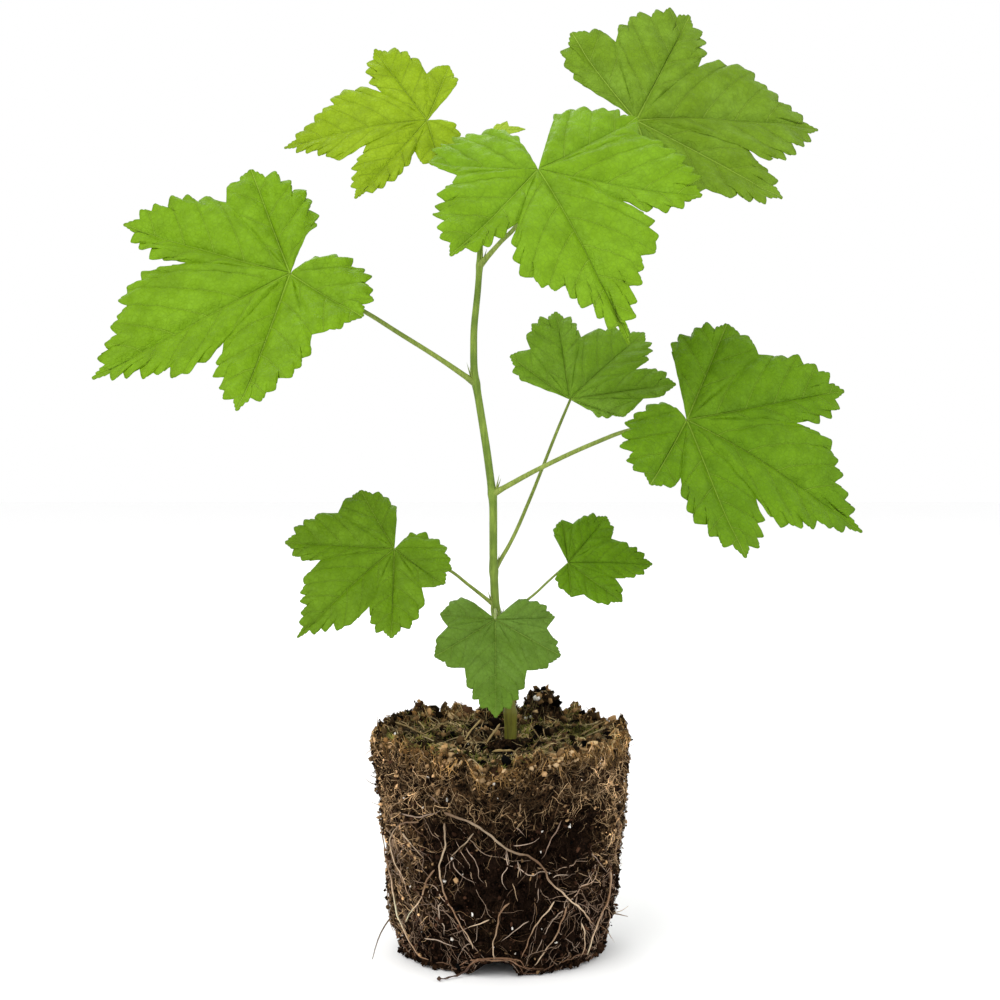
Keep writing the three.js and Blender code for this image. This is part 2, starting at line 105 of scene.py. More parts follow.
# Small helpers for node trees
def feed(tree, node, inputs):
    # each input takes a link or a plain value
    for key, value in inputs.items():
        if isinstance(value, bpy.types.NodeSocket):
            tree.links.new(value, node.inputs[key])
        else:
            node.inputs[key].default_value = value
    return node


def addNode(tree, kind, inputs=None, **settings):
    made = tree.nodes.new(kind)
    for key, value in settings.items():
        setattr(made, key, value)
    return feed(tree, made, inputs or {})


def newMaterial(name):
    material = bpy.data.materials.new(name)
    material.use_nodes = True
    tree = material.node_tree
    place = addNode(tree, "ShaderNodeTexCoord").outputs["Object"]
    return material, tree, tree.nodes["Principled BSDF"], place


def dress(tree, shader, body, height, strength, distance, rough, gloss):
    # colour, small relief, roughness and gloss
    bump = addNode(tree, "ShaderNodeBump", {"Strength": strength, "Distance": distance, "Height": height})
    feed(tree, shader, {
        "Base Color": body, "Normal": bump.outputs[0], "Roughness": rough, "Specular IOR Level": gloss,
    })


def calc(tree, operation, first, second=0.0, third=0.0):
    made = addNode(tree, "ShaderNodeMath", {0: first, 1: second, 2: third}, operation=operation)
    return made.outputs[0]


def fade(tree, value, low, high, start=1.0, end=0.0):
    made = addNode(tree, "ShaderNodeMapRange", {
        "Value": value, "From Min": low, "From Max": high, "To Min": start, "To Max": end,
    }, interpolation_type="SMOOTHSTEP")
    return made.outputs[0]


def mixColour(tree, share, first, second, blend="MIX"):
    made = addNode(tree, "ShaderNodeMix", {0: share, 6: first, 7: second},
                   data_type="RGBA", blend_type=blend, clamp_factor=True)
    return made.outputs[2]


def speckle(tree, place, scale, low, high, detail=4, rough=0.6):
    # noise as a share from 0 to 1
    made = addNode(tree, "ShaderNodeTexNoise", {
        "Vector": place, "Scale": scale, "Detail": detail, "Roughness": rough,
    })
    return fade(tree, made.outputs["Fac"], low, high, 0.0, 1.0)


def linear(red, green, blue):
    # a colour as it shows on a screen, 0 to 255, turned into the light that the shaders mix
    def light(c):
        return ((c / 255 + 0.055) / 1.055) ** 2.4 if c > 10 else c / 255 / 12.92

    return light(red), light(green), light(blue), 1


def finishPiece(piece, nodes, materials):
    for material in materials:
        piece.data.materials.append(material)
    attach(piece, "root")
    if nodes:
        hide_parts(*nodes)


def deselectAll():
    bpy.ops.object.select_all(action="DESELECT")


def spotsOf(mesh):
    spots = np.empty(len(mesh.vertices) * 3, dtype=np.float32)
    mesh.vertices.foreach_get("co", spots)
    return spots.reshape(-1, 3)


def placeSpots(mesh, spots):
    # spots in mm
    mesh.vertices.foreach_set("co", (spots * mm).astype(np.float32).ravel())


def joinSeams(closed):
    # the edges of a rolled-up grid meet, and are made one
    bpy.ops.object.mode_set(mode="EDIT")
    bpy.ops.mesh.select_all(action="SELECT")
    bpy.ops.mesh.remove_doubles(threshold=1e-6)
    if closed:
        bpy.ops.mesh.normals_make_consistent(inside=False)
    bpy.ops.object.mode_set(mode="OBJECT")


def unit(ways):
    return ways / np.maximum(np.linalg.norm(ways, axis=-1, keepdims=True), 1e-9)


def smoothstep(value, low, high):
    share = np.clip((value - low) / (high - low), 0, 1)
    return share * share * (3 - 2 * share)


def bell(value, centre, width, power=2):
    # 1 at the centre, falling to 0 on both sides
    return np.exp(-(((value - centre) / width) ** power))


def peaked(share, peak, rise=1.0, fall=1.0):
    # from 0 up to 1 at the peak, and down to 0 again
    return np.where(share < peak, (share / peak) ** rise, ((1 - share) / (1 - peak)) ** fall)


def travelled(legs):
    return np.concatenate([[0], np.cumsum(legs)])


def eitherWay(count, least, most):
    # angles to the left or the right
    return dice.choice([-1, 1], count) * dice.uniform(least, most, count)


# Leaves: the same sizes as the solids, in mm and degrees about the joint of the stalk
leafPlans = {
    "left": {
        "base": (-96, -12, 314), "turn": (-165, -24, -41), "curl": 0.12, "droop": -0.1, "length": 100,
        "lobes": [(-99, 72), (-54, 93), (-1, 101), (51, 86), (109, 49)],
        "notches": [(-83, 61), (-43, 53), (27, 49), (80, 46)],
        "heels": [(-132, 28), (192, 10)],
        "fullness": [1.8, 3.0, 1.4, 1.4, 1.7, 2.1, 1.0, 1.4, 1.4, 1.3],
        "shoulders": [(0.55, 0.25), (0.45, 0.22)],
        "green": (104, 142, 4), "pale": (112, 152, 15),
    },
    "top_left": {
        "base": (-35, 25, 387), "turn": (178, 4, -52), "curl": 0.26, "droop": -0.04, "length": 67,
        "lobes": [(-101, 37), (-57, 56), (6, 69), (61, 59), (108, 31)],
        "notches": [(-84, 31), (-38, 31), (29, 32), (79, 21)],
        "heels": [(-118, 27), (183, 10)],
        "fullness": [1.0, 3.0, 1.4, 1.6, 1.8, 4.0, 0.8, 1.4, 2.0, 0.8],
        "shoulders": [(0.51, 0.22), (0.46, 0.3)],
        # green and pale are lighter on this leaf than on the others: painted glow of light shining through it
        # from behind
        "green": (124, 152, 8), "pale": (136, 164, 22),
    },
    "top_front": {
        "base": (16, -30, 359), "turn": (-60, -39, 17), "curl": 0.24, "droop": -0.1, "length": 94,
        "lobes": [(-113, 49), (-54, 74), (1, 97), (55, 74), (108, 61)],
        "notches": [(-100, 38), (-37, 38), (41, 42), (96, 54)],
        "heels": [(-182, 23), (146, 42)],
        "fullness": [3.0, 1.4, 0.8, 0.8, 1.8, 1.4, 2.2, 1.2, 1.2, 2.6],
        "shoulders": [(0.51, 0.35), (0.45, 0.33)],
        "green": (106, 144, 10), "pale": (114, 154, 26),
    },
    "top_right": {
        "base": (63, 25, 387), "turn": (15, 13, 53), "curl": 0.26, "droop": -0.08, "length": 101,
        "lobes": [(-95, 56), (-50, 79), (-6, 97), (49, 81), (101, 60)],
        "notches": [(-74, 54), (-30, 56), (32, 53), (81, 50)],
        "heels": [(-125, 30), (120, 34)],
        "fullness": [1.4, 0.8, 1.2, 1.0, 4.0, 1.85, 1.4, 1.6, 3.0, 1.8],
        "shoulders": [(0.34, 0.12), (0.53, 0.27)],
        "green": (98, 129, 15), "pale": (110, 143, 36),
    },
    "middle_back": {
        "base": (33, 45, 256), "turn": (28, 47, 40), "curl": 0.19, "droop": -0.1, "length": 62,
        "lobes": [(-80, 30), (-48, 52), (-5, 54), (45, 54), (85, 40)],
        "notches": [(-59, 37), (-28, 36), (29, 38), (70, 37)],
        "heels": [(-92, 15), (100, 24)],
        "fullness": [0.8, 0.8, 3.0, 2.0, 2.0, 1.4, 1.4, 2.4, 2.8, 1.2],
        "green": (108, 146, 26), "pale": (120, 156, 50),
    },
    "right": {
        "base": (83, -25, 248), "turn": (-13, -23, 42), "curl": 0.23, "droop": -0.1, "length": 91,
        "lobes": [(-89, 48), (-49, 79), (0, 92), (47, 84), (95, 64)],
        "notches": [(-73, 37), (-27, 50), (33, 54), (75, 57)],
        "heels": [(-205, 10), (122, 43)],
        "fullness": [0.75, 2.8, 1.6, 1.2, 2.4, 1.65, 1.6, 1.2, 3.0, 1.2],
        "shoulders": [(0.45, 0.21), (0.46, 0.29)],
        "green": (88, 126, 2), "pale": (98, 136, 8),
    },
    "lower_left": {
        "base": (-49, -15, 189), "turn": (-149, -30, -41), "curl": 0.18, "droop": -0.08, "length": 58,
        "lobes": [(-105, 37), (-47, 51), (2, 60), (48, 48), (97, 31)],
        "notches": [(-78, 34), (-32, 35), (29, 33), (79, 26)],
        "heels": [(-134, 22), (190, 8)],
        "fullness": [1.4, 3.0, 1.4, 1.8, 1.2, 1.45, 1.6, 1.6, 2.2, 1.5],
        "shoulders": [(0.44, 0.24), (0.47, 0.22)],
        "green": (88, 122, 4), "pale": (98, 132, 18),
    },
    "lower_right": {
        "base": (31, 10, 180), "turn": (1, 7, 50), "curl": 0.18, "droop": -0.03, "length": 40,
        "lobes": [(-92, 20), (-47, 33), (-3, 40), (49, 33), (89, 25)],
        "notches": [(-75, 20), (-27, 24), (29, 26), (77, 23)],
        "heels": [(-140, 8), (106, 18)],
        "fullness": [0.8, 0.8, 1.8, 1.4, 1.4, 1.0, 2.0, 1.6, 1.8, 1.8],
        "green": (90, 128, 4), "pale": (98, 136, 16),
    },
    "lowest_front": {
        "base": (-3, -42, 160), "turn": (-89, -46, -1), "curl": 0.18, "droop": 0.06, "length": 46,
        "lobes": [(-98, 25), (-55, 33), (0, 47), (58, 34), (95, 27)],
        "notches": [(-80, 22), (-29, 29), (28, 30), (80, 24)],
        "heels": [(-135, 17), (138, 17)],
        "fullness": [1.6, 1.6, 1.4, 3.0, 1.2, 1.2, 3.0, 1.0, 1.8, 1.0],
        "green": (80, 110, 26), "pale": (91, 121, 43),
    },
    "shoot_tip": {
        "base": (-3, 7, 379.4), "turn": (-12, 8, 55), "curl": 0.1, "droop": -0.1, "length": 13,
        "lobes": [(-80, 5), (-45, 8), (0, 14), (45, 8), (80, 5)],
        "notches": [(-62, 5), (-20, 7), (20, 7), (62, 5)],
        "heels": [(-110, 3), (110, 3)],
        "fullness": [1, 1, 1, 1, 1, 1, 1, 1, 1, 1],
        "green": (150, 176, 50), "pale": (166, 190, 70),
    },
}
bladeSet = {
    "toothLeast": 3.4, "toothPerLength": 1 / 22, "toothDepth": 0.46, "toothLean": 0.2, "toothBite": 0.5,
    "toothVary": 0.35, "pairDepth": 0.4, "pairPeak": 0.72, "subTeeth": 3, "subDepth": 0.2, "subPeak": 0.7,
    "perTooth": 12, "fullLength": 85, "trim": 0.965,
    "tipReach": 0.025, "tipWidth": 0.05, "tipWaist": 0.34, "waistAt": 0.93, "waistReach": 0.08,
    "shoulderStep": 0.03, "shoulderTaper": 1.1, "sideSteps": 80,
    "pleat": 0.16, "quilt": 1.4, "sunkRib": 0.5, "pucker": 0.75, "ripple": 1.0, "thickness": 0.4,
    "veinSpacing": 0.165, "veinSlant": 0.85, "veinBend": 0.9,
    "coreShare": 0.004, "edgeFrom": 0.78, "edgeRows": 11, "rowsPerLength": 0.37, "leastRows": 10,
    "driftReach": 34, "flutterReach": 11, "puckerReach": 4.2,
}


def bladeFrame(plan):
    heading, pitch, roll = (math.radians(v) for v in plan["turn"])
    midrib = np.array([
        math.cos(pitch) * math.cos(heading), math.cos(pitch) * math.sin(heading), math.sin(pitch),
    ])
    level = np.array([-math.sin(heading), math.cos(heading), 0])
    across = math.cos(roll) * level + math.sin(roll) * np.cross(midrib, level)
    return midrib, across, np.cross(midrib, across)


def lobeSide(inner, tip, fullness, spacing, shoulder):
    # a shoulder is a side lobe: the lobe narrows there by a step, and then steadily to the tip
    s = np.linspace(0, 1, bladeSet["sideSteps"] + 1)
    at, cut = shoulder or (1, 0)
    waist = 0 if shoulder else bladeSet["tipWaist"]
    narrowing = 1 - waist * bell(s, bladeSet["waistAt"], bladeSet["waistReach"])
    if shoulder:
        narrowing = narrowing - cut * smoothstep(s, at, at + bladeSet["shoulderStep"])
        narrowing = narrowing - bladeSet["shoulderTaper"] * np.maximum(0, s - at)
    angle = np.radians(tip[0] + (inner[0] - tip[0]) * (1 - s ** fullness) * np.maximum(narrowing, 0))
    reach = inner[1] + (tip[1] - inner[1]) * s
    reach = reach * (1 + bladeSet["tipReach"] * bell(s, 1, bladeSet["tipWidth"]))
    fine = np.stack([reach * np.cos(angle), reach * np.sin(angle)], 1)
    gone = travelled(np.linalg.norm(np.diff(fine, axis=0), axis=1))
    count = max(1, round(gone[-1] / spacing))
    want = np.linspace(0, gone[-1], count + 1)
    if shoulder:
        toShoulder = gone[round(at * bladeSet["sideSteps"])]
        before = max(1, round(toShoulder / gone[-1] * count))
        past = np.linspace(toShoulder, gone[-1], count - before + 1)[1:]
        want = np.concatenate([np.linspace(0, toShoulder, before + 1), past])
    return np.stack([np.interp(want, gone, fine[:, 0]), np.interp(want, gone, fine[:, 1])], 1)


def bladeEdge(plan):
    # the plain edge and the toothed edge as matching points, and the lobe that each belongs to
    spacing = bladeSet["toothLeast"] + plan["length"] * bladeSet["toothPerLength"]
    peak = 0.5 + bladeSet["toothLean"]
    bold = 0.5 + 0.5 * min(1, plan["length"] / bladeSet["fullLength"])  # small leaves have shallower teeth
    t = np.arange(bladeSet["perTooth"]) / bladeSet["perTooth"]
    plain, toothed, lobeOf = [], [], []
    for i in range(10):
        rising = i % 2 == 0
        inner = plan["notches"][i // 2 - 1] if rising and i > 0 else plan["notches"][min(i // 2, 3)]
        inner = plan["heels"][0] if i == 0 else plan["heels"][1] if i == 9 else inner
        shoulder = plan["shoulders"][i - 4] if "shoulders" in plan and i in (4, 5) else None
        side = lobeSide(inner, plan["lobes"][i // 2], plan["fullness"][i], spacing, shoulder)
        side = side if rising else side[::-1]
        for k in range(len(side) - 1):
            atStart, atEnd = k == 0, k == len(side) - 2
            besideNotch = (rising and atStart and i > 0) or (not rising and atEnd and i < 9)
            besideTip = atEnd if rising else atStart
            run = side[k + 1] - side[k]
            outward = unit(np.array([run[1], -run[0]]))
            way = t if rising else 1 - t
            big = peaked(way, peak, 0.9, 1.5) - bladeSet["toothBite"]
            small = peaked((way * bladeSet["subTeeth"]) % 1, bladeSet["subPeak"])
            vary = 1 + bladeSet["toothVary"] * math.sin(5.3 * (i * 7 + k))
            depth = bold * spacing * bladeSet["toothDepth"] * vary
            toTip = k if not rising else len(side) - 2 - k
            paired = toTip > 0 and (toTip % 2 == 0 or toTip < len(side) - 2)
            pair = (toTip % 2 + way) / 2 if paired else way * 0
            coarse = peaked(pair, bladeSet["pairPeak"], 1.0, 1.5)
            lift = depth * (0 if besideNotch or besideTip else 1) * big
            lift = lift + depth * bladeSet["subDepth"] * small * (0 if besideNotch else 1)
            fromNotch = k if rising else len(side) - 2 - k
            clear = 1 if i in (0, 9) else min(1, fromNotch / 2)  # a notch is kept open
            lift = lift * (0.4 + 0.6 * clear) + clear * bold ** 2 * spacing * bladeSet["pairDepth"] * coarse
            spots = side[k] + run * t[:, None]
            plain.append(spots)
            toothed.append(spots + outward * lift[:, None])
            lobeOf += [i // 2] * len(t)
    plain.append(side[-1:])
    toothed.append(side[-1:])
    return np.concatenate(plain), np.concatenate(toothed), np.array(lobeOf + [4])


def bladeRelief(plan, u, v, lobe, share):
    # pleats between the main veins, quilting between the side veins, sunk ribs and a rippled edge
    length = plan["length"]
    size = length / 100
    reach = np.hypot(u, v)
    tips = np.array([a for a, r in plan["lobes"]])
    edges = [plan["heels"][0][0]] + [a for a, r in plan["notches"]] + [plan["heels"][1][0]]
    angle = np.degrees(np.arctan2(v, u))
    off = (angle - tips[lobe] + 180) % 360 - 180
    low = np.abs(np.array([edges[i] - tips[i] for i in range(5)]))[lobe]
    high = np.abs(np.array([edges[i + 1] - tips[i] for i in range(5)]))[lobe]
    spread = np.clip(np.abs(off) / np.where(off < 0, low, high), 0, 1)
    half = np.radians(np.minimum(np.where(off < 0, low, high), 40))
    pleat = bladeSet["pleat"] * reach * half * (np.sin(spread * math.pi / 2) - 0.55) * (1 - share ** 3)
    d = reach * np.sin(np.radians(off)) / length
    s = reach * np.cos(np.radians(off)) / length
    phase = (s - bladeSet["veinSlant"] * np.abs(d) - bladeSet["veinBend"] * d * d) / bladeSet["veinSpacing"]
    phase = phase + np.where(d > 0, 0.5, 0)
    swell = np.abs(np.sin(math.pi * (phase - 0.5))) ** 0.7
    clear = smoothstep(np.abs(d), 0.005, 0.05) * smoothstep(1 - share, 0, 0.08)
    clear = clear * smoothstep(1 - spread, 0, 0.2)
    quilt = bladeSet["quilt"] * size * swell * clear
    rib = -bladeSet["sunkRib"] * size * bell(d, 0, 0.012) * smoothstep(1 - share, 0, 0.3)
    return pleat + quilt + rib, d


def mapVeins(mesh, plan, column, lobeOf, u, v):
    # a UV map across and along the lobe's own rib, as shares of the leaf's length
    corners = np.empty(len(mesh.loops), dtype=np.int32)
    mesh.loops.foreach_get("vertex_index", corners)
    faceColumn = column[corners].reshape(-1, 4).min(axis=1).repeat(4)
    tips = np.radians([a for a, r in plan["lobes"]])[lobeOf[faceColumn]]
    cu, cv = u[corners], v[corners]
    across, ahead = cv * np.cos(tips) - cu * np.sin(tips), cu * np.cos(tips) + cv * np.sin(tips)
    veins = np.stack([across, ahead], 1) / plan["length"]
    layer = mesh.uv_layers.active or mesh.uv_layers.new()
    layer.name = "veins"
    layer.data.foreach_set("uv", veins.astype(np.float32).ravel())


def makeBlade(name, plan):
    plain, toothed, lobeOf = bladeEdge(plan)
    columns = len(plain)
    inside = max(bladeSet["leastRows"], round(plan["length"] * bladeSet["rowsPerLength"]))
    shares = np.concatenate([
        np.linspace(bladeSet["coreShare"], bladeSet["edgeFrom"], inside),
        np.linspace(bladeSet["edgeFrom"], 1, bladeSet["edgeRows"] + 1)[1:],
    ])
    deselectAll()
    bpy.ops.mesh.primitive_grid_add(x_subdivisions=columns - 1, y_subdivisions=len(shares) - 1, size=1)
    piece = bpy.context.object
    piece.name = f"leaf_{name}_blade"
    mesh = piece.data
    flat = spotsOf(mesh)
    column = np.rint((flat[:, 0] + 0.5) * (columns - 1)).astype(int)
    row = np.rint((flat[:, 1] + 0.5) * (len(shares) - 1)).astype(int)
    share = shares[row]
    bite = smoothstep(share, 0.76, 1)[:, None]
    place = (plain[column] * share[:, None] + (toothed - plain)[column] * bite) * bladeSet["trim"]
    u, v = place[:, 0], place[:, 1]
    relief, d = bladeRelief(plan, u, v, lobeOf[column], share)
    left, right = lobeOf[np.maximum(column - 1, 0)], lobeOf[column]
    other = bladeRelief(plan, u, v, left, share)[0]
    relief = np.where(left != right, (relief + other) / 2, relief)
    size = plan["length"] / 100
    seed = sum(ord(c) for c in name)

    def swells(reach, level, shrink=1):
        spots = [(a / reach / shrink + seed, b / reach / shrink, level) for a, b in place]
        return np.array([noise.noise(Vector(spot)) for spot in spots])

    drift, flutter = swells(bladeSet["driftReach"], 1.7), swells(bladeSet["flutterReach"], 7.1, size)
    waves = 2.2 * drift * share + 1.1 * flutter * smoothstep(share, 0.5, 1)
    relief = relief + bladeSet["ripple"] * size * waves
    pucker = swells(bladeSet["puckerReach"], 3.3)
    relief = relief + bladeSet["pucker"] * size * pucker * smoothstep(np.abs(d), 0, 0.03)
    midrib, across, up = bladeFrame(plan)
    sag = -(plan["curl"] * u * u + plan["droop"] * v * v) / plan["length"]
    world = np.array(plan["base"]) + u[:, None] * midrib + v[:, None] * across
    placeSpots(mesh, world + (sag + relief)[:, None] * up)
    mapVeins(mesh, plan, column, lobeOf, u, v)
    joinSeams(False)
    first = mesh.polygons[len(mesh.polygons) // 2]
    if first.normal.dot(Vector(up)) < 0:
        mesh.flip_normals()
    wall = piece.modifiers.new("wall", "SOLIDIFY")
    wall.thickness = bladeSet["thickness"] * mm
    wall.offset = 0
    wall.material_offset = 1
    bpy.ops.object.modifier_apply(modifier="wall")
    bpy.ops.object.shade_smooth()
    finishPiece(piece, [f"leaf_{name}"], [
        bladeMaterial(f"leafTop_{name}", plan, False), bladeMaterial(f"leafUnder_{name}", plan, True),
    ])


# Leaf finish: pairs are for the upper face and the under face
leafFinish = {
    "underTones": ((104, 132, 58), (122, 146, 82), (84, 112, 42), (150, 168, 104)),
    "veinTone": (184, 212, 92), "deepShare": 0.62,
    "ribWidth": 0.0075, "ribThins": -0.0055, "sideWidth": 0.0036, "sideThins": -0.008,
    # ribCreaseShade and veinCreaseShade are shares of painted shade: darker green in the creases beside the
    # rib and the side veins
    "mottleAndSheen": 0.75, "patch": 0.42, "fine": 0.24, "ribCreaseShade": 0.2, "veinCreaseShade": 0.18,
    "net": 0.16, "sideVein": (0.26, 0.6), "mainVein": (0.48, 0.85),
    "relief": (-1.0, 1.4), "netRelief": (-0.22, 0.3), "fineRelief": 0.2, "patchRelief": 0.5,
    "bump": (0.7, 0.0008), "rough": (0.5, 0.64), "gloss": 0.12,
}


def leafVeins(tree):
    # shares of main rib and side vein, and the distances from them
    veinPlace = addNode(tree, "ShaderNodeUVMap", uv_map="veins").outputs[0]
    parts = addNode(tree, "ShaderNodeSeparateXYZ", {0: veinPlace})
    d, s = parts.outputs[0], parts.outputs[1]
    off = calc(tree, "ABSOLUTE", d)
    width = calc(tree, "MULTIPLY_ADD", s, leafFinish["ribThins"], leafFinish["ribWidth"])
    fromRib = calc(tree, "DIVIDE", off, width)
    main = fade(tree, fromRib, 0.45, 1.1)
    slanted = calc(tree, "MULTIPLY_ADD", off, -bladeSet["veinSlant"], s)
    bent = calc(tree, "MULTIPLY_ADD", calc(tree, "MULTIPLY", off, off), -bladeSet["veinBend"], slanted)
    phase = calc(tree, "DIVIDE", bent, bladeSet["veinSpacing"])
    phase = calc(tree, "MULTIPLY_ADD", calc(tree, "GREATER_THAN", d, 0), 0.5, phase)
    toVein = calc(tree, "ABSOLUTE", calc(tree, "SUBTRACT", calc(tree, "FRACT", phase), 0.5))
    away = calc(tree, "MULTIPLY", toVein, bladeSet["veinSpacing"] * 0.8)
    width = calc(tree, "MULTIPLY_ADD", off, leafFinish["sideThins"], leafFinish["sideWidth"])
    side = fade(tree, calc(tree, "DIVIDE", away, width), 0.4, 1.15)
    side = calc(tree, "MULTIPLY", side, fade(tree, s, 0.05, 0.16, 0.0, 1.0))
    return main, side, fromRib, away


def bladeMaterial(name, plan, under):
    look, face = leafFinish, int(under)
    material, tree, shader, place = newMaterial(name)
    green, pale = linear(*plan["green"]), linear(*plan["pale"])
    deep = tuple(c * look["deepShare"] for c in green[:3]) + (1,)
    vein = tuple(0.6 * a + 0.4 * b for a, b in zip(pale, linear(*look["veinTone"])))
    if under:
        green, pale, deep, vein = (linear(*colour) for colour in look["underTones"])
    main, side, fromRib, away = leafVeins(tree)
    # a net of fine veins between them, with pale clouds that are partly the leaf's own mottling and partly
    # painted sheen, with patches and specks
    warp = addNode(tree, "ShaderNodeTexNoise", {"Vector": place, "Scale": 160.0, "Detail": 2.0})
    shaken = addNode(tree, "ShaderNodeMixRGB", {0: 0.0016, 1: place, 2: warp.outputs["Color"]}).outputs[0]
    cells = {"Vector": shaken, "Scale": 420.0}
    net = addNode(tree, "ShaderNodeTexVoronoi", cells, feature="DISTANCE_TO_EDGE")
    netLine = fade(tree, net.outputs["Distance"], 0.02, 0.16)
    # pale clouds of colour: part mottling of the leaf, part painted sheen
    mottleAndSheen = speckle(tree, place, 42.0, 0.36, 0.66, 3, 0.55)
    fine = speckle(tree, place, 260.0, 0.35, 0.7, 4, 0.55)
    patch = speckle(tree, place, 110.0, 0.4, 0.68, 3)
    body = mixColour(tree, calc(tree, "MULTIPLY", mottleAndSheen, look["mottleAndSheen"]), green, pale)
    # painted shade: the leaf is darkened towards the deep green in the creases beside the rib and the side
    # veins
    ribCreaseShade = calc(tree, "MULTIPLY", fade(tree, fromRib, 1.0, 3.4), look["ribCreaseShade"])
    veinCreaseShade = calc(tree, "MULTIPLY", fade(tree, away, 0.002, 0.016), look["veinCreaseShade"])
    paintedCreaseShade = calc(tree, "MAXIMUM", ribCreaseShade, veinCreaseShade)
    # the deep green is mixed in as mottling in patches and specks, and as painted shade in the creases
    for share, amount, colour in (
        (patch, look["patch"], deep), (fine, look["fine"], deep), (paintedCreaseShade, 1.0, deep),
        (netLine, look["net"], vein if under else deep),
        (side, look["sideVein"][face], vein), (main, look["mainVein"][face], vein),
    ):
        body = mixColour(tree, calc(tree, "MULTIPLY", share, amount), body, colour)
    # the ribs are sunk above and raised below
    height = calc(tree, "MULTIPLY_ADD", main, 1.0, calc(tree, "MULTIPLY", side, 0.6))
    height = calc(tree, "MULTIPLY", height, look["relief"][face])
    height = calc(tree, "MULTIPLY_ADD", netLine, look["netRelief"][face], height)
    height = calc(tree, "MULTIPLY_ADD", fine, look["fineRelief"], height)
    height = calc(tree, "MULTIPLY_ADD", patch, look["patchRelief"], height)
    rough = fade(tree, fine, 0.0, 1.0, *look["rough"])
    dress(tree, shader, body, height, *look["bump"], rough, look["gloss"])
    return material


# Joined meshes of many small things, each with its own plain colour
def joinedMesh(name, spots, faces, tints, nodes, material, smooth=True):
    spots[:, 2] = np.maximum(spots[:, 2], 0)
    mesh = bpy.data.meshes.new(name)
    mesh.vertices.add(len(spots))
    placeSpots(mesh, spots)
    counts = [len(group) for group in faces]
    sides = [group.shape[1] for group in faces]
    mesh.loops.add(sum(c * s for c, s in zip(counts, sides)))
    mesh.loops.foreach_set("vertex_index", np.concatenate([g.ravel() for g in faces]).astype(np.int32))
    mesh.polygons.add(sum(counts))
    totals = np.concatenate([np.full(c, s) for c, s in zip(counts, sides)])
    starts = np.concatenate([[0], np.cumsum(totals)[:-1]])
    mesh.polygons.foreach_set("loop_start", starts.astype(np.int32))
    mesh.update(calc_edges=True)
    colour = mesh.attributes.new("tint", "FLOAT_COLOR", "POINT")
    opaque = np.hstack([tints, np.ones((len(tints), 1))])
    colour.data.foreach_set("color", opaque.astype(np.float32).ravel())
    if smooth:
        mesh.shade_smooth()
    piece = bpy.data.objects.new(name, mesh)
    bpy.context.collection.objects.link(piece)
    finishPiece(piece, nodes, [material])


def patchy(places, strength=1.0):
    # light and dark patches, as factors on the colours of small things
    flat = places.reshape(-1, 3)
    found = [noise.noise(Vector(p / 7.5)) + 0.6 * noise.noise(Vector(p / 3.1)) for p in flat]
    return np.clip(0.85 + 1.25 * strength * np.array(found), 0.14, 1.7)[:, None]


def strandMesh(name, paths, outs, radii, tints, sides, material, nodes=(), slot="root_ball"):
    # paths is strands x steps x 3, outs the way out from the skin, with a radius and a colour at each step
    count, steps = paths.shape[:2]
    along = unit(np.gradient(paths, axis=1))
    beside = unit(np.cross(along, outs))
    above = np.cross(beside, along)
    turn = np.arange(sides) / sides * 2 * math.pi
    ring = np.cos(turn)[:, None] * beside[:, :, None] + np.sin(turn)[:, None] * above[:, :, None]
    spots = (paths[:, :, None] + ring * radii[:, :, None, None]).reshape(-1, 3)
    strand = np.arange(count)[:, None, None] * steps * sides
    step = np.arange(steps - 1)[None, :, None] * sides
    side = np.arange(sides)[None, None, :]
    here, there = strand + step + side, strand + step + (side + 1) % sides
    walls = np.stack([here, here + sides, there + sides, there], -1).reshape(-1, 4)
    start = np.arange(count)[:, None] * steps * sides + np.arange(sides)[None, :]
    finish = start + (steps - 1) * sides
    if tints.ndim == 2:  # one colour for a whole strand
        tints = np.repeat(tints[:, None], steps, axis=1)
    colours = np.repeat(tints.reshape(-1, 3), sides, axis=0)
    joinedMesh(name, spots, [walls, start, finish[:, ::-1]], colours, nodes, material)


def scatterMesh(name, shape, places, sizes, tints, squash=0.5):
    # copies of one modelled lump, each turned and stretched its own way
    base = spotsOf(shape.data)
    faces = np.array([list(p.vertices) for p in shape.data.polygons])
    count = len(places)
    turns = dice.normal(size=(count, 3, 3))
    turns = np.linalg.qr(turns)[0]
    turns = turns * np.where(np.linalg.det(turns) < 0, -1, 1)[:, None, None]
    stretch = 1 + squash * dice.uniform(-1, 1, (count, 1, 3))
    dents = 1 + 0.5 * dice.uniform(-1, 1, (count, len(base), 1))
    spots = np.einsum("nij,nvj->nvi", turns, base[None] * stretch * dents) * sizes[:, None, None]
    spots = (spots + places[:, None]).reshape(-1, 3)
    joined = (faces[None] + np.arange(count)[:, None, None] * len(base)).reshape(-1, faces.shape[1])
    colours = np.repeat(tints, len(base), axis=0)
    joinedMesh(name, spots, [joined], colours, [], crumbSkin, False)


def plainTone(colour):
    return np.array(linear(*colour)[:3])


def tone(low, high, count, spread=0.12):
    # colours between two, some lighter or darker
    share = dice.random((count, 1))
    mixed = plainTone(low) * (1 - share) + plainTone(high) * share
    return np.clip(mixed * (1 + spread * dice.normal(size=(count, 1))), 0.002, 1)


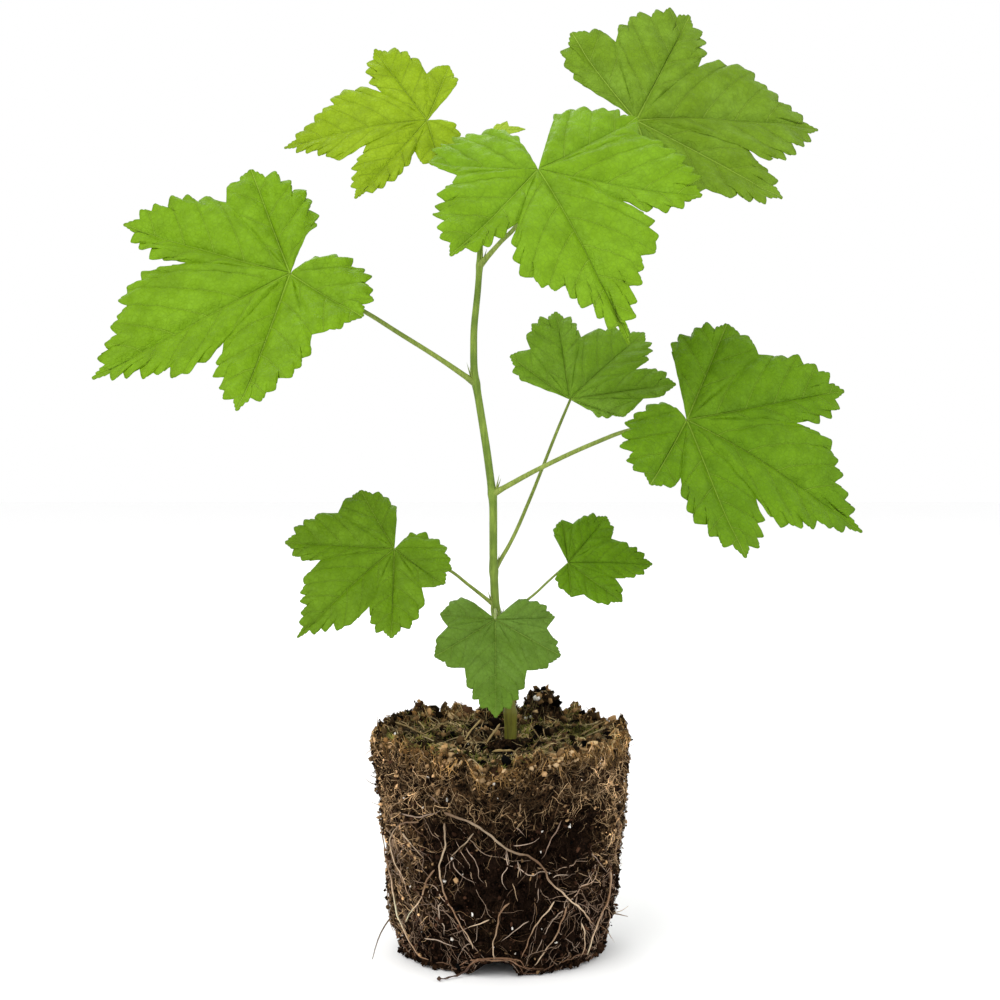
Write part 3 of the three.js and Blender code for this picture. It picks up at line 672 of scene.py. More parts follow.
# Cane and leaf stalks: centre lines in mm with their widths
caneSet = {
    "path": [
        (4, 0, 90), (4, 0, 113), (1, 0, 137), (-3, 0, 158), (-4, 0, 182), (-4, 0, 210), (-7, 1, 233),
        (-10, 1, 252), (-13, 0, 270), (-13, 0, 289), (-11, 0, 307), (-10, 0, 322), (-10, 1, 336),
        (-9, 2, 348), (-6, 4, 364), (-3, 6, 378),
    ],
    "widths": [6.2, 5.4, 4.5, 4.1, 3.7, 3.7, 3.6, 3.5, 3.4, 3.2, 3.0, 2.8, 2.4, 2.2, 1.8, 1.4],
    "bottom": 90, "top": 378, "step": 3.0,
    "nodes": [110, 158, 178, 213, 264, 318, 341, 352], "swell": 0.22, "swellReach": 2.6,
}
stalkPlans = {
    "left": {"from": 264, "bends": [(-28, -3, 275), (-47, -6, 287), (-63, -9, 297)], "widths": (2.6, 1.9)},
    "top_left": {"from": 352, "bends": [(-15, 13, 364), (-23, 23, 375)], "widths": (1.8, 1.4)},
    "top_front": {"from": 318, "bends": [(-1, -6, 328), (7, -14, 336)], "widths": (2.4, 1.9)},
    "top_right": {"from": 341, "bends": [(18, 10, 353), (46, 20, 373)], "widths": (2.4, 2)},
    "middle_back": {
        "from": 177, "bends": [(4, 6, 190), (13, 18, 209), (19, 27, 223), (27, 38, 242)],
        "widths": (1.9, 1.4),
    },
    "right": {"from": 213, "bends": [(17, -6, 225), (44, -15, 238), (57, -19, 243)], "widths": (2.5, 1.7)},
    "lower_left": {"from": 161, "bends": [(-15, -5, 171), (-25, -9, 179)], "widths": (1.7, 1.3)},
    "lower_right": {"from": 154, "bends": [(14, 4, 165), (22, 7, 172)], "widths": (1.4, 1)},
    "lowest_front": {"from": 157, "bends": [(-3, -16, 161), (-3, -28, 162)], "widths": (1.6, 1.3)},
}


def caneAt(z):
    path = np.array(caneSet["path"], float)
    return np.array([np.interp(z, path[:, 2], path[:, k]) for k in range(3)])


def makeLimb(name, spots, widths, roundness=6, smooth=14):
    # a curve drawn through the spots, given a round section and turned into a mesh
    deselectAll()
    bpy.ops.curve.primitive_bezier_curve_add()
    piece = bpy.context.object
    piece.name = name
    curve = piece.data
    spline = curve.splines[0]
    spline.bezier_points.add(len(spots) - len(spline.bezier_points))
    for point, spot, width in zip(spline.bezier_points, spots, widths):
        point.co = Vector(spot) * mm
        point.handle_left_type = point.handle_right_type = "AUTO"
        point.radius = width / 2
    curve.dimensions = "3D"
    curve.resolution_u = smooth
    curve.bevel_depth = mm
    curve.bevel_resolution = roundness
    curve.use_fill_caps = True
    bpy.ops.object.convert(target="MESH")
    bpy.ops.object.shade_smooth()
    return bpy.context.object


def makeCane():
    heights = np.arange(caneSet["bottom"], caneSet["top"] + 0.1, caneSet["step"])
    soft = np.array([caneAt(z) for z in heights])
    for _ in range(3):
        soft[1:-1] = (soft[:-2] + 2 * soft[1:-1] + soft[2:]) / 4
    widths = np.interp(heights, [p[2] for p in caneSet["path"]], caneSet["widths"])
    for z in caneSet["nodes"]:
        widths = widths * (1 + caneSet["swell"] * bell(heights, z, caneSet["swellReach"]))
    piece = makeLimb("cane_stem", soft, widths, 7, 4)
    finishPiece(piece, ["cane"], [caneMaterial()])


def makeStalk(name, plan):
    leaf = leafPlans[name]
    start = caneAt(plan["from"])
    up = bladeFrame(leaf)[2]
    joint = np.array(leaf["base"]) - up * 0.35 * plan["widths"][1]
    spots = [start, *[np.array(b) for b in plan["bends"]], joint]
    spots.insert(1, start + unit(spots[1] - start) * 6)
    widths = list(np.interp(np.linspace(0, 1, len(spots)), [0, 1], plan["widths"]))
    widths[0] *= 1.5
    widths[1] *= 1.12
    widths[-1] *= 0.9
    piece = makeLimb(f"stalk_{name}_limb", spots, widths, 5, 16)
    finishPiece(piece, [f"stalk_{name}"], [stalkGreen])


def makeStipules():
    # a pair of small pointed leaflets where each stalk leaves the cane
    feet, ways, lengths = [], [], []
    for plan in stalkPlans.values():
        foot = caneAt(plan["from"])
        first = unit(np.array(plan["bends"][0]) - foot)
        for side in (-1, 1):
            beside = np.cross(first, [0, 0, 1]) * side
            feet.append(foot + first * 2.2 + beside * 0.9 + np.array([0, 0, 0.8]))
            ways.append(first * 0.35 + beside * 0.3 + np.array([0, 0, 0.9]))
            lengths.append(plan["widths"][0] * (3.1 if side > 0 else 2.3))
    share = np.linspace(0, 1, 7)
    ways = unit(np.array(ways))
    paths = np.array(feet)[:, None] + ways[:, None] * (np.array(lengths)[:, None] * share)[..., None]
    radii = 0.42 * np.interp(share, [0, 0.25, 1], [0.7, 1, 0.08])[None] * np.ones((len(feet), 1))
    tints = tone((122, 140, 48), (140, 156, 66), len(feet))
    strandMesh("stipules", paths, (0.6, -0.8, 0.1), radii, tints, 5, stalkGreen, slot="stalks")


def skinMaterial(name, light, mid, dark, scale):
    material, tree, shader, place = newMaterial(name)
    long = addNode(tree, "ShaderNodeMapping", {"Vector": place, "Scale": (1, 1, 0.12)}).outputs[0]
    streak = speckle(tree, long, scale * 9, 0.35, 0.68, 5, 0.55)
    patch = speckle(tree, place, scale, 0.35, 0.65, 3, 0.55)
    body = mixColour(tree, patch, linear(*mid), linear(*light))
    body = mixColour(tree, calc(tree, "MULTIPLY", streak, 0.5), body, linear(*dark))
    dress(tree, shader, body, streak, 0.35, 0.0003, 0.5, 0.22)
    return material, tree, shader, place, body


def caneMaterial():
    material, tree, shader, place, body = skinMaterial(
        "caneSkin", (122, 144, 54), (96, 120, 36), (70, 90, 22), 90.0)
    z = addNode(tree, "ShaderNodeSeparateXYZ", {0: place}).outputs[2]
    foot = fade(tree, z, 0.112, 0.15)
    body = mixColour(tree, calc(tree, "MULTIPLY", foot, 0.85), body, linear(104, 98, 26))
    long = addNode(tree, "ShaderNodeMapping", {"Vector": place, "Scale": (1, 1, 0.1)}).outputs[0]
    bark = speckle(tree, long, 620.0, 0.42, 0.6)
    low = fade(tree, z, 0.104, 0.122)
    barked = calc(tree, "MULTIPLY", bark, calc(tree, "MULTIPLY", low, 0.6))
    feed(tree, shader, {"Base Color": mixColour(tree, barked, body, linear(62, 58, 22))})
    return material


# Root ball: sizes in mm, places given by the angle round it from the front and the way over its skin
ballSet = {
    "profile": [(0, 45.5), (4, 48.6), (13, 51.5), (32, 53.9), (51, 55.7), (70, 57.2), (90, 59.2), (103, 60)],
    "height": 103, "topLevel": 100.5, "inset": 0.6, "rimInset": 1.2, "rimRise": 2.5, "footGap": 0.6,
    "meanRadius": 56, "rimRadius": 58, "litterRadius": 57,
    "worn": {"depth": 9, "halfWidth": 15, "reach": 24},
    "knob": {"x": 19, "y": 40, "height": 14, "radius": 9},
    "caneLevel": 99, "caneX": 4, "caneClear": 9.5, "crestAt": -2.68, "crestRise": 2.6, "crestReach": 0.6,
    "notchAt": -0.06, "notchWidth": 0.2, "notchHeight": 7.5,
    "hollows": [(-8, 33, 12), (1, -16, 14), (-12, -44, 8), (18, 8, 9), (-26, 6, 8)], "hollowDepth": 2.6,
    "columns": 480, "topRows": 44, "sideRows": 116, "underRows": 6,
}


def turnFrom(a, home):
    # the angle past home, from half a turn back to half a turn on
    return (a - home + math.pi) % (2 * math.pi) - math.pi


def spotAt(a, r):
    # x and y of a place at an angle and a distance from the middle
    return r * np.sin(a), -r * np.cos(a)


def fromCane(x, y):
    return np.hypot(x - ballSet["caneX"], y)


def moundAt(x, y, atX, atY, radius):
    # 1 on a round mound and 0 off it
    return bell(np.hypot(x - atX, y - atY), 0, radius, 4)


def knobAt(x, y):
    knob = ballSet["knob"]
    return moundAt(x, y, knob["x"], knob["y"], knob["radius"])


def hollowAt(x, y):
    # 1 in the dark hollows of the top, 0 where litter covers it
    return np.clip(sum(moundAt(x, y, *hollow) for hollow in ballSet["hollows"]), 0, 1)


def ballRadius(a, z):
    waves = 0.7 * np.sin(3 * a + z / 17) + 0.5 * np.sin(7 * a - z / 11) + 0.4 * np.sin(2 * a + z / 6)
    plain = np.interp(z, [p[0] for p in ballSet["profile"]], [p[1] for p in ballSet["profile"]])
    return plain + waves * np.minimum(1, np.maximum(z, 0) / 12) - ballSet["inset"]


def ballTop(x, y):
    lumps = 1.3 * np.sin(x / 7 + 1) * np.cos(y / 8) + 0.9 * np.sin(y / 4.6 + x / 9)
    lumps = lumps + 0.6 * np.cos(x / 3.7 - y / 5)
    worn = ballSet["worn"]
    rise = ballSet["rimRise"] * smoothstep(np.hypot(x, y), 34, 56)
    dip = worn["depth"] * bell(x, 1, worn["halfWidth"], 4) * smoothstep(-y, 60 - worn["reach"], 60)
    heap = ballSet["knob"]["height"] * knobAt(x, y)
    level = ballSet["topLevel"] + lumps + rise - dip + heap - ballSet["hollowDepth"] * hollowAt(x, y)
    near = smoothstep(fromCane(x, y), ballSet["caneClear"], ballSet["caneClear"] + 7)
    return ballSet["caneLevel"] + (level - ballSet["caneLevel"]) * near


def rimAt(a):
    rim = ballRadius(a, ballSet["height"]) - ballSet["rimInset"]
    return rim, ballTop(*spotAt(a, rim))


def notchLift(a):
    # how high the foot is worn away at its front
    return ballSet["notchHeight"] * bell(turnFrom(a, ballSet["notchAt"]), 0, ballSet["notchWidth"], 6)


def roughAt(spots, parts):
    flat = np.asarray(spots, float).reshape(-1, 3)
    found = [sum(size * noise.noise(Vector(p / reach)) for reach, size in parts) for p in flat]
    return np.array(found).reshape(np.shape(spots)[:-1])


def calmAt(place):
    # no lumps at the very foot or beside the cane
    return smoothstep(place[..., 2], 0.2, 3) * smoothstep(fromCane(place[..., 0], place[..., 1]), 3, 9)


def clodAt(place, way):
    # how far the lumps of the compost stand out: clods, a raised ragged rim and a hollow top
    clods = 1.4 - 3.4 * np.abs(roughAt(place, [(5.5, 1.5), (2.6, 0.7)])) + roughAt(place, [(9, 2.2)]) - 1.2
    heap = knobAt(place[..., 0], place[..., 1])
    hollow = 3.2 * smoothstep(-way, 2.5, 9) * (1 - heap) - 2.2 * heap
    return (np.where(way < 0, 1.5, 1.0) * clods - hollow) * calmAt(place)


def rimLift(a, way):
    # the ragged crest of the rim, a little higher at the back left
    around = np.stack([9 * np.sin(a), 9 * np.cos(a), 0 * a], -1)
    ragged = roughAt(around, [(1, 5.4), (0.4, 2.4)]) + 0.4
    crest = ballSet["crestRise"] * bell(turnFrom(a, ballSet["crestAt"]), 0, ballSet["crestReach"])
    return (ragged + crest) * bell(way, -1.5, 4.5)


def skinAt(a, way, lift, follow=1.0):
    # way is the distance over the skin from the rim: below 0 on the top, above 0 down the side
    a, way = np.asarray(a, float), np.asarray(way, float)
    rim, rimZ = rimAt(a)
    sideZ = np.maximum(rimZ - way, ballSet["footGap"] + notchLift(a))
    r = np.where(way < 0, np.maximum(rim + way, 0), ballRadius(a, sideZ))
    x, y = spotAt(a, r)
    z = np.where(way < 0, ballTop(x, y), sideZ)
    worn = 1.1 * np.exp(-np.abs(way) / 1.7)
    turn = smoothstep(way, -2.5, 2.5)
    out = unit(np.stack([np.sin(a) * turn, -np.cos(a) * turn, 1 - turn], -1))
    place = np.stack([x - worn * np.sin(a), y + worn * np.cos(a), z - worn + rimLift(a, way)], -1)
    return place + out * (np.asarray(lift) + follow * clodAt(place, way))[..., None], out


def matCover(a, z):
    # where pale fibres mat the skin: the upper part, the flanks and patches elsewhere
    turned = np.abs(turnFrom(np.asarray(a), 0.06))
    upper = smoothstep(z, 62, 86)
    low = 12 + 14 * np.sin(a)
    flank = smoothstep(turned, 0.5, 1.0) * smoothstep(z, low, low + 34) * 0.9
    waves = np.sin(5 * a + z / 9) * 0.1 + np.sin(11 * a - z / 7) * 0.1 + np.sin(3 * a + z / 23) * 0.1
    return np.clip(np.maximum(upper, flank) + (waves - 0.04), 0, 1)


def paleAt(a):
    # the flanks are drier and paler than the front, most of all the left one
    return (1 + 1.15 * bell(a, -1.0, 0.5) + 0.8 * bell(a, 1.05, 0.35))[:, None]


def makeBallCore():
    deselectAll()
    columns, top, under = ballSet["columns"], ballSet["topRows"], ballSet["underRows"]
    side = top + ballSet["sideRows"]
    rows = side + under
    bpy.ops.mesh.primitive_grid_add(x_subdivisions=columns, y_subdivisions=rows, size=1)
    piece = bpy.context.object
    piece.name = "ball_compost"
    mesh = piece.data
    flat = spotsOf(mesh)
    a = np.rint((flat[:, 0] + 0.5) * columns) % columns / columns * 2 * math.pi
    row = np.rint((flat[:, 1] + 0.5) * rows)
    rim, rimZ = rimAt(a)
    down = (rimZ - ballSet["footGap"]) * np.clip((row - top) / (side - top), 0, 1)
    way = np.where(row <= top, -rim * (1 - row / top), down)
    place, out = skinAt(a, way, np.zeros(len(a)))
    place = place + out * (roughAt(place, [(1.6, 1.3), (0.9, 0.5)]) * calmAt(place))[:, None]
    littered = 0.75 * (1 - hollowAt(place[:, 0], place[:, 1])) + 0.2 * smoothstep(way, -4.5, 0)
    cover = np.where(way < 0, littered, matCover(a, place[:, 2]))
    shrink = np.where(row > side, 1 - np.clip((row - side) / under, 0, 1), 1)  # the underside closes inwards
    place[:, :2] = place[:, :2] * shrink[:, None]
    lifted = notchLift(a)
    place[:, 2] = np.where(row > side, lifted * shrink ** 3, np.maximum(place[:, 2], lifted))
    placeSpots(mesh, place)
    shade = mesh.attributes.new("cover", "FLOAT", "POINT")
    shade.data.foreach_set("value", cover.astype(np.float32))
    joinSeams(True)
    bpy.ops.object.shade_smooth()
    finishPiece(piece, ["root_ball"], [compostMaterial()])


def compostMaterial():
    material, tree, shader, place = newMaterial("compost")
    cover = addNode(tree, "ShaderNodeAttribute", attribute_name="cover").outputs["Fac"]
    grain = speckle(tree, place, 900.0, 0.35, 0.68)
    clod = speckle(tree, place, 230.0, 0.38, 0.64)
    body = mixColour(tree, clod, linear(3, 2, 1), linear(27, 18, 12))
    body = mixColour(tree, calc(tree, "MULTIPLY", grain, 0.3), body, linear(62, 42, 31))
    mat = mixColour(tree, grain, linear(12, 8, 4), linear(114, 86, 57))
    body = mixColour(tree, calc(tree, "MULTIPLY", cover, clod), body, mat)
    dress(tree, shader, body, calc(tree, "MULTIPLY_ADD", clod, 1.0, grain), 0.9, 0.0008, 0.92, 0.02)
    return material


def tintMaterial(name, scale, rough, contrast, gloss):
    # the plain colour of each small thing, streaked and grained
    material, tree, shader, place = newMaterial(name)
    tint = addNode(tree, "ShaderNodeAttribute", attribute_name="tint").outputs["Color"]
    grain = speckle(tree, place, scale, 0.34, 0.68)
    dark = mixColour(tree, 1.0, tint, (0.45, 0.4, 0.36, 1), "MULTIPLY")
    body = mixColour(tree, calc(tree, "MULTIPLY", grain, contrast), tint, dark)
    dress(tree, shader, body, grain, 0.5, 0.0003, rough, gloss)
    return material


# Strands: places are drawn first, then thicknesses and colours
def allRound(count):
    return dice.uniform(-math.pi, math.pi, count)


def walk(a, way, heading, steps, stride, wander, lift, pull=0.08, follow=0.75):
    # strands that wander over the skin, sinking in and coming out again
    count = len(a)
    aAll, wayAll, liftAll = np.empty((count, steps)), np.empty((count, steps)), np.empty((count, steps))
    home = heading.copy()
    phase, beat = dice.uniform(0, 6.28, count), dice.uniform(0.25, 0.7, count)
    for k in range(steps):
        aAll[:, k], wayAll[:, k] = a, way
        liftAll[:, k] = lift[0] + lift[1] * np.sin(phase + beat * k)
        heading = heading + wander * dice.normal(size=count) + pull * (home - heading)
        a = a + np.sin(heading) * stride / ballSet["meanRadius"]
        way = way + np.cos(heading) * stride
    rim, rimZ = rimAt(aAll)
    wayAll = np.clip(wayAll, -rim + 6, rimZ - 1.0)
    return *skinAt(aAll, wayAll, liftAll, follow), aAll, wayAll


def taper(radii, steps, thinEnd=0.35):
    share = np.linspace(0, 1, steps)[None, :]
    ends = np.minimum(1, 0.3 + share * 6) * (1 - (1 - thinEnd) * share ** 1.5)
    return radii[:, None] * ends


def layStrands(name, laid, radius, tones, spread, sides=3, thinEnd=0.35, shade=1, patch=0):
    paths, outs = laid[:2]
    count, steps = paths.shape[:2]
    radii = taper(dice.uniform(*radius, count), steps, thinEnd)
    tints = shade * tone(*tones, count, spread)
    if patch:
        tints = tints * patchy(paths[:, steps // 2], patch)
    strandMesh(name, paths, outs, radii, tints, sides, fibreSkin)


def pick(count, accept):
    # random places all round the side, kept by a rule
    a = allRound(count * 8)
    way = dice.uniform(-2, 100, count * 8)
    keep = dice.random(count * 8) < accept(a, ballSet["height"] - way)
    return a[keep][:count], way[keep][:count]


def rootCover(a, z):
    # thin pale roots: most on the flanks, few on the front
    flanks = 0.8 * bell(a, -1.05, 0.4) + 0.5 * bell(a, 1.0, 0.35)
    behind = 0.3 * smoothstep(np.abs(a), 1.5, 1.8)
    return (0.22 + flanks + behind) * smoothstep(92 - z, 5, 30) * smoothstep(z, 8, 20)


feltPlans = [
    {"name": "fibres_mat", "count": 4600, "steps": 7, "stride": 1.5, "heading": 1.2, "wander": 0.26,
     "where": lambda a, z: matCover(a, z) ** 1.5, "lift": (0.3, 0.9), "radius": (0.06, 0.15), "forks": 0,
     "tones": ((50, 34, 20), (214, 180, 136)), "patch": 1.1},
    {"name": "fibres_fine", "count": 420, "steps": 12, "stride": 1.7, "heading": 1.1, "wander": 0.3,
     "where": lambda a, z: 1 - 0.5 * matCover(a, z), "lift": (0.2, 0.8), "radius": (0.06, 0.13), "forks": 0,
     "tones": ((36, 25, 16), (140, 110, 80)), "patch": 0.6},
    {"name": "roots_thin", "count": 150, "steps": 20, "stride": 1.9, "heading": 0.7, "wander": 0.22,
     "where": rootCover, "lift": (0.4, 0.8), "radius": (0.11, 0.24), "forks": 300,
     "tones": ((108, 84, 66), (176, 152, 130)), "patch": 0.3},
]
# forks: steps, stride, wander and lift, then thickness and angle
forkSet = {"walk": (13, 1.6, 0.24, (0.5, 0.5)), "radius": (0.08, 0.18), "turn": (0.4, 1.1)}


def makeFelt():
    for plan in feltPlans:
        a, way = pick(plan["count"], plan["where"])
        heading = plan["heading"] * dice.normal(size=len(a))
        laid = walk(a, way, heading, plan["steps"], plan["stride"], plan["wander"], plan["lift"])
        shade, patch = paleAt(a), plan["patch"]
        layStrands(plan["name"], laid, plan["radius"], plan["tones"], 0.2, shade=shade, patch=patch)
        if plan["forks"]:
            makeForks(plan, *laid[2:])


def makeForks(plan, aAll, wayAll):
    # finer strands that branch from those of the plan
    count = plan["forks"]
    parent, step = dice.integers(0, len(aAll), count), dice.integers(1, plan["steps"] - 2, count)
    a, way = aAll[parent, step], wayAll[parent, step]
    ahead = np.arctan2((aAll[parent, step + 1] - a) * ballSet["meanRadius"], wayAll[parent, step + 1] - way)
    heading = ahead + eitherWay(count, *forkSet["turn"])
    paths, outs = walk(a, way, heading, *forkSet["walk"])[:2]
    tints = tone(*plan["tones"], count, 0.15)
    radii = taper(dice.uniform(*forkSet["radius"], count), paths.shape[1])
    strandMesh(plan["name"] + "_forks", paths, outs, radii, tints, 4, fibreSkin)


# Cover: the walk is steps, stride, wander and lift
coverSets = {
    "rim": {
        "count": 2000, "from": (-9, 1), "heading": 0.7, "walk": (8, 1.8, 0.35, (0.5, 0.8)),
        "radius": (0.12, 0.26), "tones": ((44, 30, 14), (200, 158, 100)),
    },
    "top": {
        "count": 2600, "steps": 6, "stride": (0.9, 2.0), "wander": 0.14, "lift": (0.4, 0.9),
        "follow": 0.6, "radius": (0.1, 0.24), "tones": ((44, 34, 18), (222, 196, 144)), "patch": 1.7,
    },
    "straws": {
        "count": 80, "steps": 7, "reach": 52, "farthest": 56, "length": (5, 15), "lifts": (0.6, 1.2),
        "follow": 0.75, "bow": (-0.5, 1.4), "radius": (0.16, 0.4), "tones": ((128, 104, 68), (206, 186, 142)),
    },
    "foot": {
        "count": 26, "from": (93, 98), "turn": (1.35, 1.75), "walk": (16, 1.8, 0.16, (0.8, 0.5)),
        "radius": (0.16, 0.42), "tones": ((70, 50, 38), (132, 102, 80)),
    },
}


def makeRimFibres():
    # fibres that hang over the rim from the top
    plan = coverSets["rim"]
    count = plan["count"]
    a = allRound(count)
    way, heading = dice.uniform(*plan["from"], count), plan["heading"] * dice.normal(size=count)
    laid = walk(a, way, heading, *plan["walk"])
    layStrands("fibres_rim", laid, plan["radius"], plan["tones"], 0.25, patch=1)


def makeTopFibres():
    # litter of short fibres on the top
    plan = coverSets["top"]
    count = plan["count"]
    a = allRound(count)
    r = ballSet["litterRadius"] * np.sqrt(dice.uniform(0.04, 1, count))
    keep = dice.random(count) > 0.96 * hollowAt(*spotAt(a, r))
    a, way = a[keep], r[keep] - ballSet["litterRadius"]
    stride, heading = dice.uniform(*plan["stride"], len(a)), dice.uniform(-3.1, 3.1, len(a))
    laid = walk(a, way, heading, plan["steps"], stride, plan["wander"], plan["lift"], 0.0, plan["follow"])
    layStrands("fibres_top", laid, plan["radius"], plan["tones"], 0.3, patch=plan["patch"])


def makeTopStraws():
    # pale straws lying straight over the top
    plan, radius = coverSets["straws"], ballSet["litterRadius"]
    count, steps, lifts, follow = plan["count"], plan["steps"], plan["lifts"], plan["follow"]
    a = allRound(count)
    r = plan["reach"] * np.sqrt(dice.uniform(0.06, 1, count))
    start, outs = skinAt(a, r - radius, lifts[0], follow)
    heading, long = dice.uniform(-3.1, 3.1, count), dice.uniform(*plan["length"], count)
    x, y = start[:, 0] + long * np.cos(heading), start[:, 1] + long * np.sin(heading)
    r = np.minimum(np.hypot(x, y), plan["farthest"])
    end = skinAt(np.arctan2(x, -y), r - radius, lifts[1], follow)[0]
    share = np.linspace(0, 1, steps)[None, :, None]
    bow = dice.uniform(*plan["bow"], (count, 1, 1)) * np.sin(share * math.pi)
    paths = start[:, None] * (1 - share) + end[:, None] * share + bow * np.array([0.4, -0.3, 0.9])
    laid = paths, np.repeat(outs[:, None], steps, 1)
    layStrands("straws_top", laid, plan["radius"], plan["tones"], 0.15, 5, 0.6)


def makeFootFibres():
    # brown fibres bundled round the foot
    plan = coverSets["foot"]
    count = plan["count"]
    a = allRound(count)
    heading = eitherWay(count, *plan["turn"])
    laid = walk(a, dice.uniform(*plan["from"], count), heading, *plan["walk"])
    layStrands("fibres_foot", laid, plan["radius"], plan["tones"], 0.15, 5, 0.6)


strawPlans = [  # pale straws that show in the photo: both ends as x and y, their heights, and the thickness
    ((12.5, 8), (18.5, -16), (6.5, 1.5), 0.75), ((-1, 8), (-6.5, -14), (7.0, 1.2), 1.5),
    ((-10.5, 12), (-15, -6), (5.5, 1.5), 1.1), ((-37, -2), (-17, 16), (1.8, 6.0), 0.6),
    ((-50, 16), (-33, -8), (3.0, 1.8), 1.2), ((-40, 26), (-37, 0), (3.5, 1.8), 0.9),
    ((-4.5, -34), (6, -29), (1.6, 1.6), 1.6), ((36, 4), (52, 14), (1.8, 2.4), 0.9),
    ((21, -27), (34, -8), (1.8, 2.2), 1.1), ((-30, -20), (-21, -33), (2.0, 1.6), 1.2),
]


def makeStraws():
    share = np.linspace(0, 1, 9)
    paths, widths, tints = [], [], []
    for i, (start, end, lifts, thick) in enumerate(strawPlans):
        ends = np.array([start, end], float)
        around = np.arctan2(ends[:, 0], -ends[:, 1])
        way = np.hypot(ends[:, 0], ends[:, 1]) - ballSet["rimRadius"]
        place = skinAt(around, way, np.array(lifts), 0.5)[0]
        line = place[0] + (place[1] - place[0]) * share[:, None]
        line[:, 2] += 0.7 * np.sin(share * math.pi) + 0.15 * np.sin(share * 11 + i)
        line[:, 0] += 0.9 * np.sin(share * math.pi + i) - 0.9 * math.sin(i)
        paths.append(line)
        ragged = 1 + 0.22 * np.sin(share * 17 + i * 1.7)
        widths.append(thick * 0.46 * ragged * np.interp(share, [0, 0.12, 0.7, 1], [0.18, 1, 0.75, 0.08]))
        tints.append(plainTone((158, 136, 92)) * (0.75 + 0.7 * math.sin(i * 2.3) ** 2))
    paths, widths, tints = np.array(paths), np.array(widths), np.array(tints)
    strandMesh("straws_named", paths, (0.3, -0.45, 0.84), widths, tints, 4, fibreSkin)


# Roots: paths as angle in degrees and height in mm on the ball's side, with a thickness in mm
rootSet = {
    "meanRadius": 55, "stride": 0.9, "lift": 0.9, "liftShare": 0.3, "halfShare": 0.26, "thinEnd": 0.55,
    "bare": (196, 173, 144), "stained": (128, 99, 74),
    "forkTones": ((120, 96, 80), (186, 164, 144)), "forkEvery": 26, "forkSteps": 16,
    "forkRadius": (0.14, 0.26), "usual": 1.6,
}


def rootPath(spots, thick, steps=None):
    # a smooth line through places given by angle and height, lying on the skin
    spots = np.array(spots, float)
    a, z = np.radians(spots[:, 0]), spots[:, 1]
    legs = np.hypot(np.diff(a) * rootSet["meanRadius"], np.diff(z))
    gone = travelled(legs)
    steps = steps or max(6, int(gone[-1] / rootSet["stride"]))
    at = np.linspace(0, gone[-1], steps)
    line = []
    for values in (a, z):
        ends = np.concatenate([[2 * values[0] - values[1]], values, [2 * values[-1] - values[-2]]])
        slope = (ends[2:] - ends[:-2]) / 2
        k = np.clip(np.searchsorted(gone, at, side="right") - 1, 0, len(gone) - 2)
        t = (at - gone[k]) / (gone[k + 1] - gone[k])
        h = [2 * t**3 - 3 * t**2 + 1, t**3 - 2 * t**2 + t, -2 * t**3 + 3 * t**2, t**3 - t**2]
        line.append(h[0] * values[k] + h[1] * slope[k] + h[2] * values[k + 1] + h[3] * slope[k + 1])
    a, z = line
    lift = rootSet["lift"] + thick * rootSet["liftShare"]
    lift = lift + 0.4 * np.sin(at / 4.3 + thick * 9) + 0.2 * np.sin(at / 1.9)
    r = ballRadius(a, z) + lift
    wiggle = 0.32 * np.sin(at / 2.3 + thick * 5) + 0.16 * np.sin(at / 0.97 + thick * 2)
    place = np.stack([r * np.sin(a) + wiggle * np.cos(a), -r * np.cos(a) + wiggle * np.sin(a), z], -1)
    out = np.stack([np.sin(a), -np.cos(a), 0 * a], -1)
    knots = 1 + 0.12 * np.sin(at / 1.7) + 0.08 * np.sin(at / 0.8)
    width = thick * rootSet["halfShare"] * np.linspace(1, rootSet["thinEnd"], steps) * knots
    width[:2] *= (0.45, 0.8)
    width[-2:] *= (0.8, 0.45)
    return place, out, width, a, z


frontRoots = [
    ("root_thickest", 2.2, [
        (-25, 76), (-20, 74), (-12, 71), (-5, 66), (5, 59), (12, 57), (18, 52),
        (23, 44), (32, 36), (37, 32), (42, 28), (47, 24), (52, 20),
    ]),
    ("root_front_left", 1.7, [
        (-26, 71), (-26, 62), (-28, 54), (-29, 48), (-28, 39), (-23, 30), (-18, 23), (-14, 14),
    ]),
    ("root_left_outer", 1.6, [(-75, 45), (-72, 40), (-66, 30), (-62, 20), (-58, 12), (-52, 6), (-42, 5)]),
    ("root_left_inner", 1.5, [
        (-39, 70), (-48, 68), (-56, 64), (-62, 57), (-62, 50), (-57, 43), (-52, 36), (-49, 32),
    ]),
    ("root_left_slant", 1.3, [(-50, 63), (-42, 58), (-37, 54)]),
    ("root_left_fork", 1.5, [(-32, 49), (-37, 43), (-41, 37), (-44, 32), (-48, 28), (-52, 25), (-56, 20)]),
    ("root_front_link", 1.3, [(-13, 67), (-18, 61), (-23, 56)]),
    ("root_front_right", 1.5, [(31, 32), (30, 27), (28, 21), (24, 16), (20, 11), (16, 6)]),
    ("root_front_middle", 1.3, [(25, 35), (19, 28), (14, 22), (12, 15), (9, 10)]),
    ("root_front_low", 1.5, [(3, 36), (0, 33), (-2, 26), (-4, 18), (-4, 10)]),
    ("root_front_cross", 1.2, [(-6, 28), (-11, 26), (-16, 24)]),
    ("root_right", 2.0, [(65, 42), (65, 35), (63, 26), (57, 18), (52, 11), (49, 6)]),
    ("root_right_fork", 1.3, [(43, 22), (46, 16), (47, 10), (45, 6)]),
]
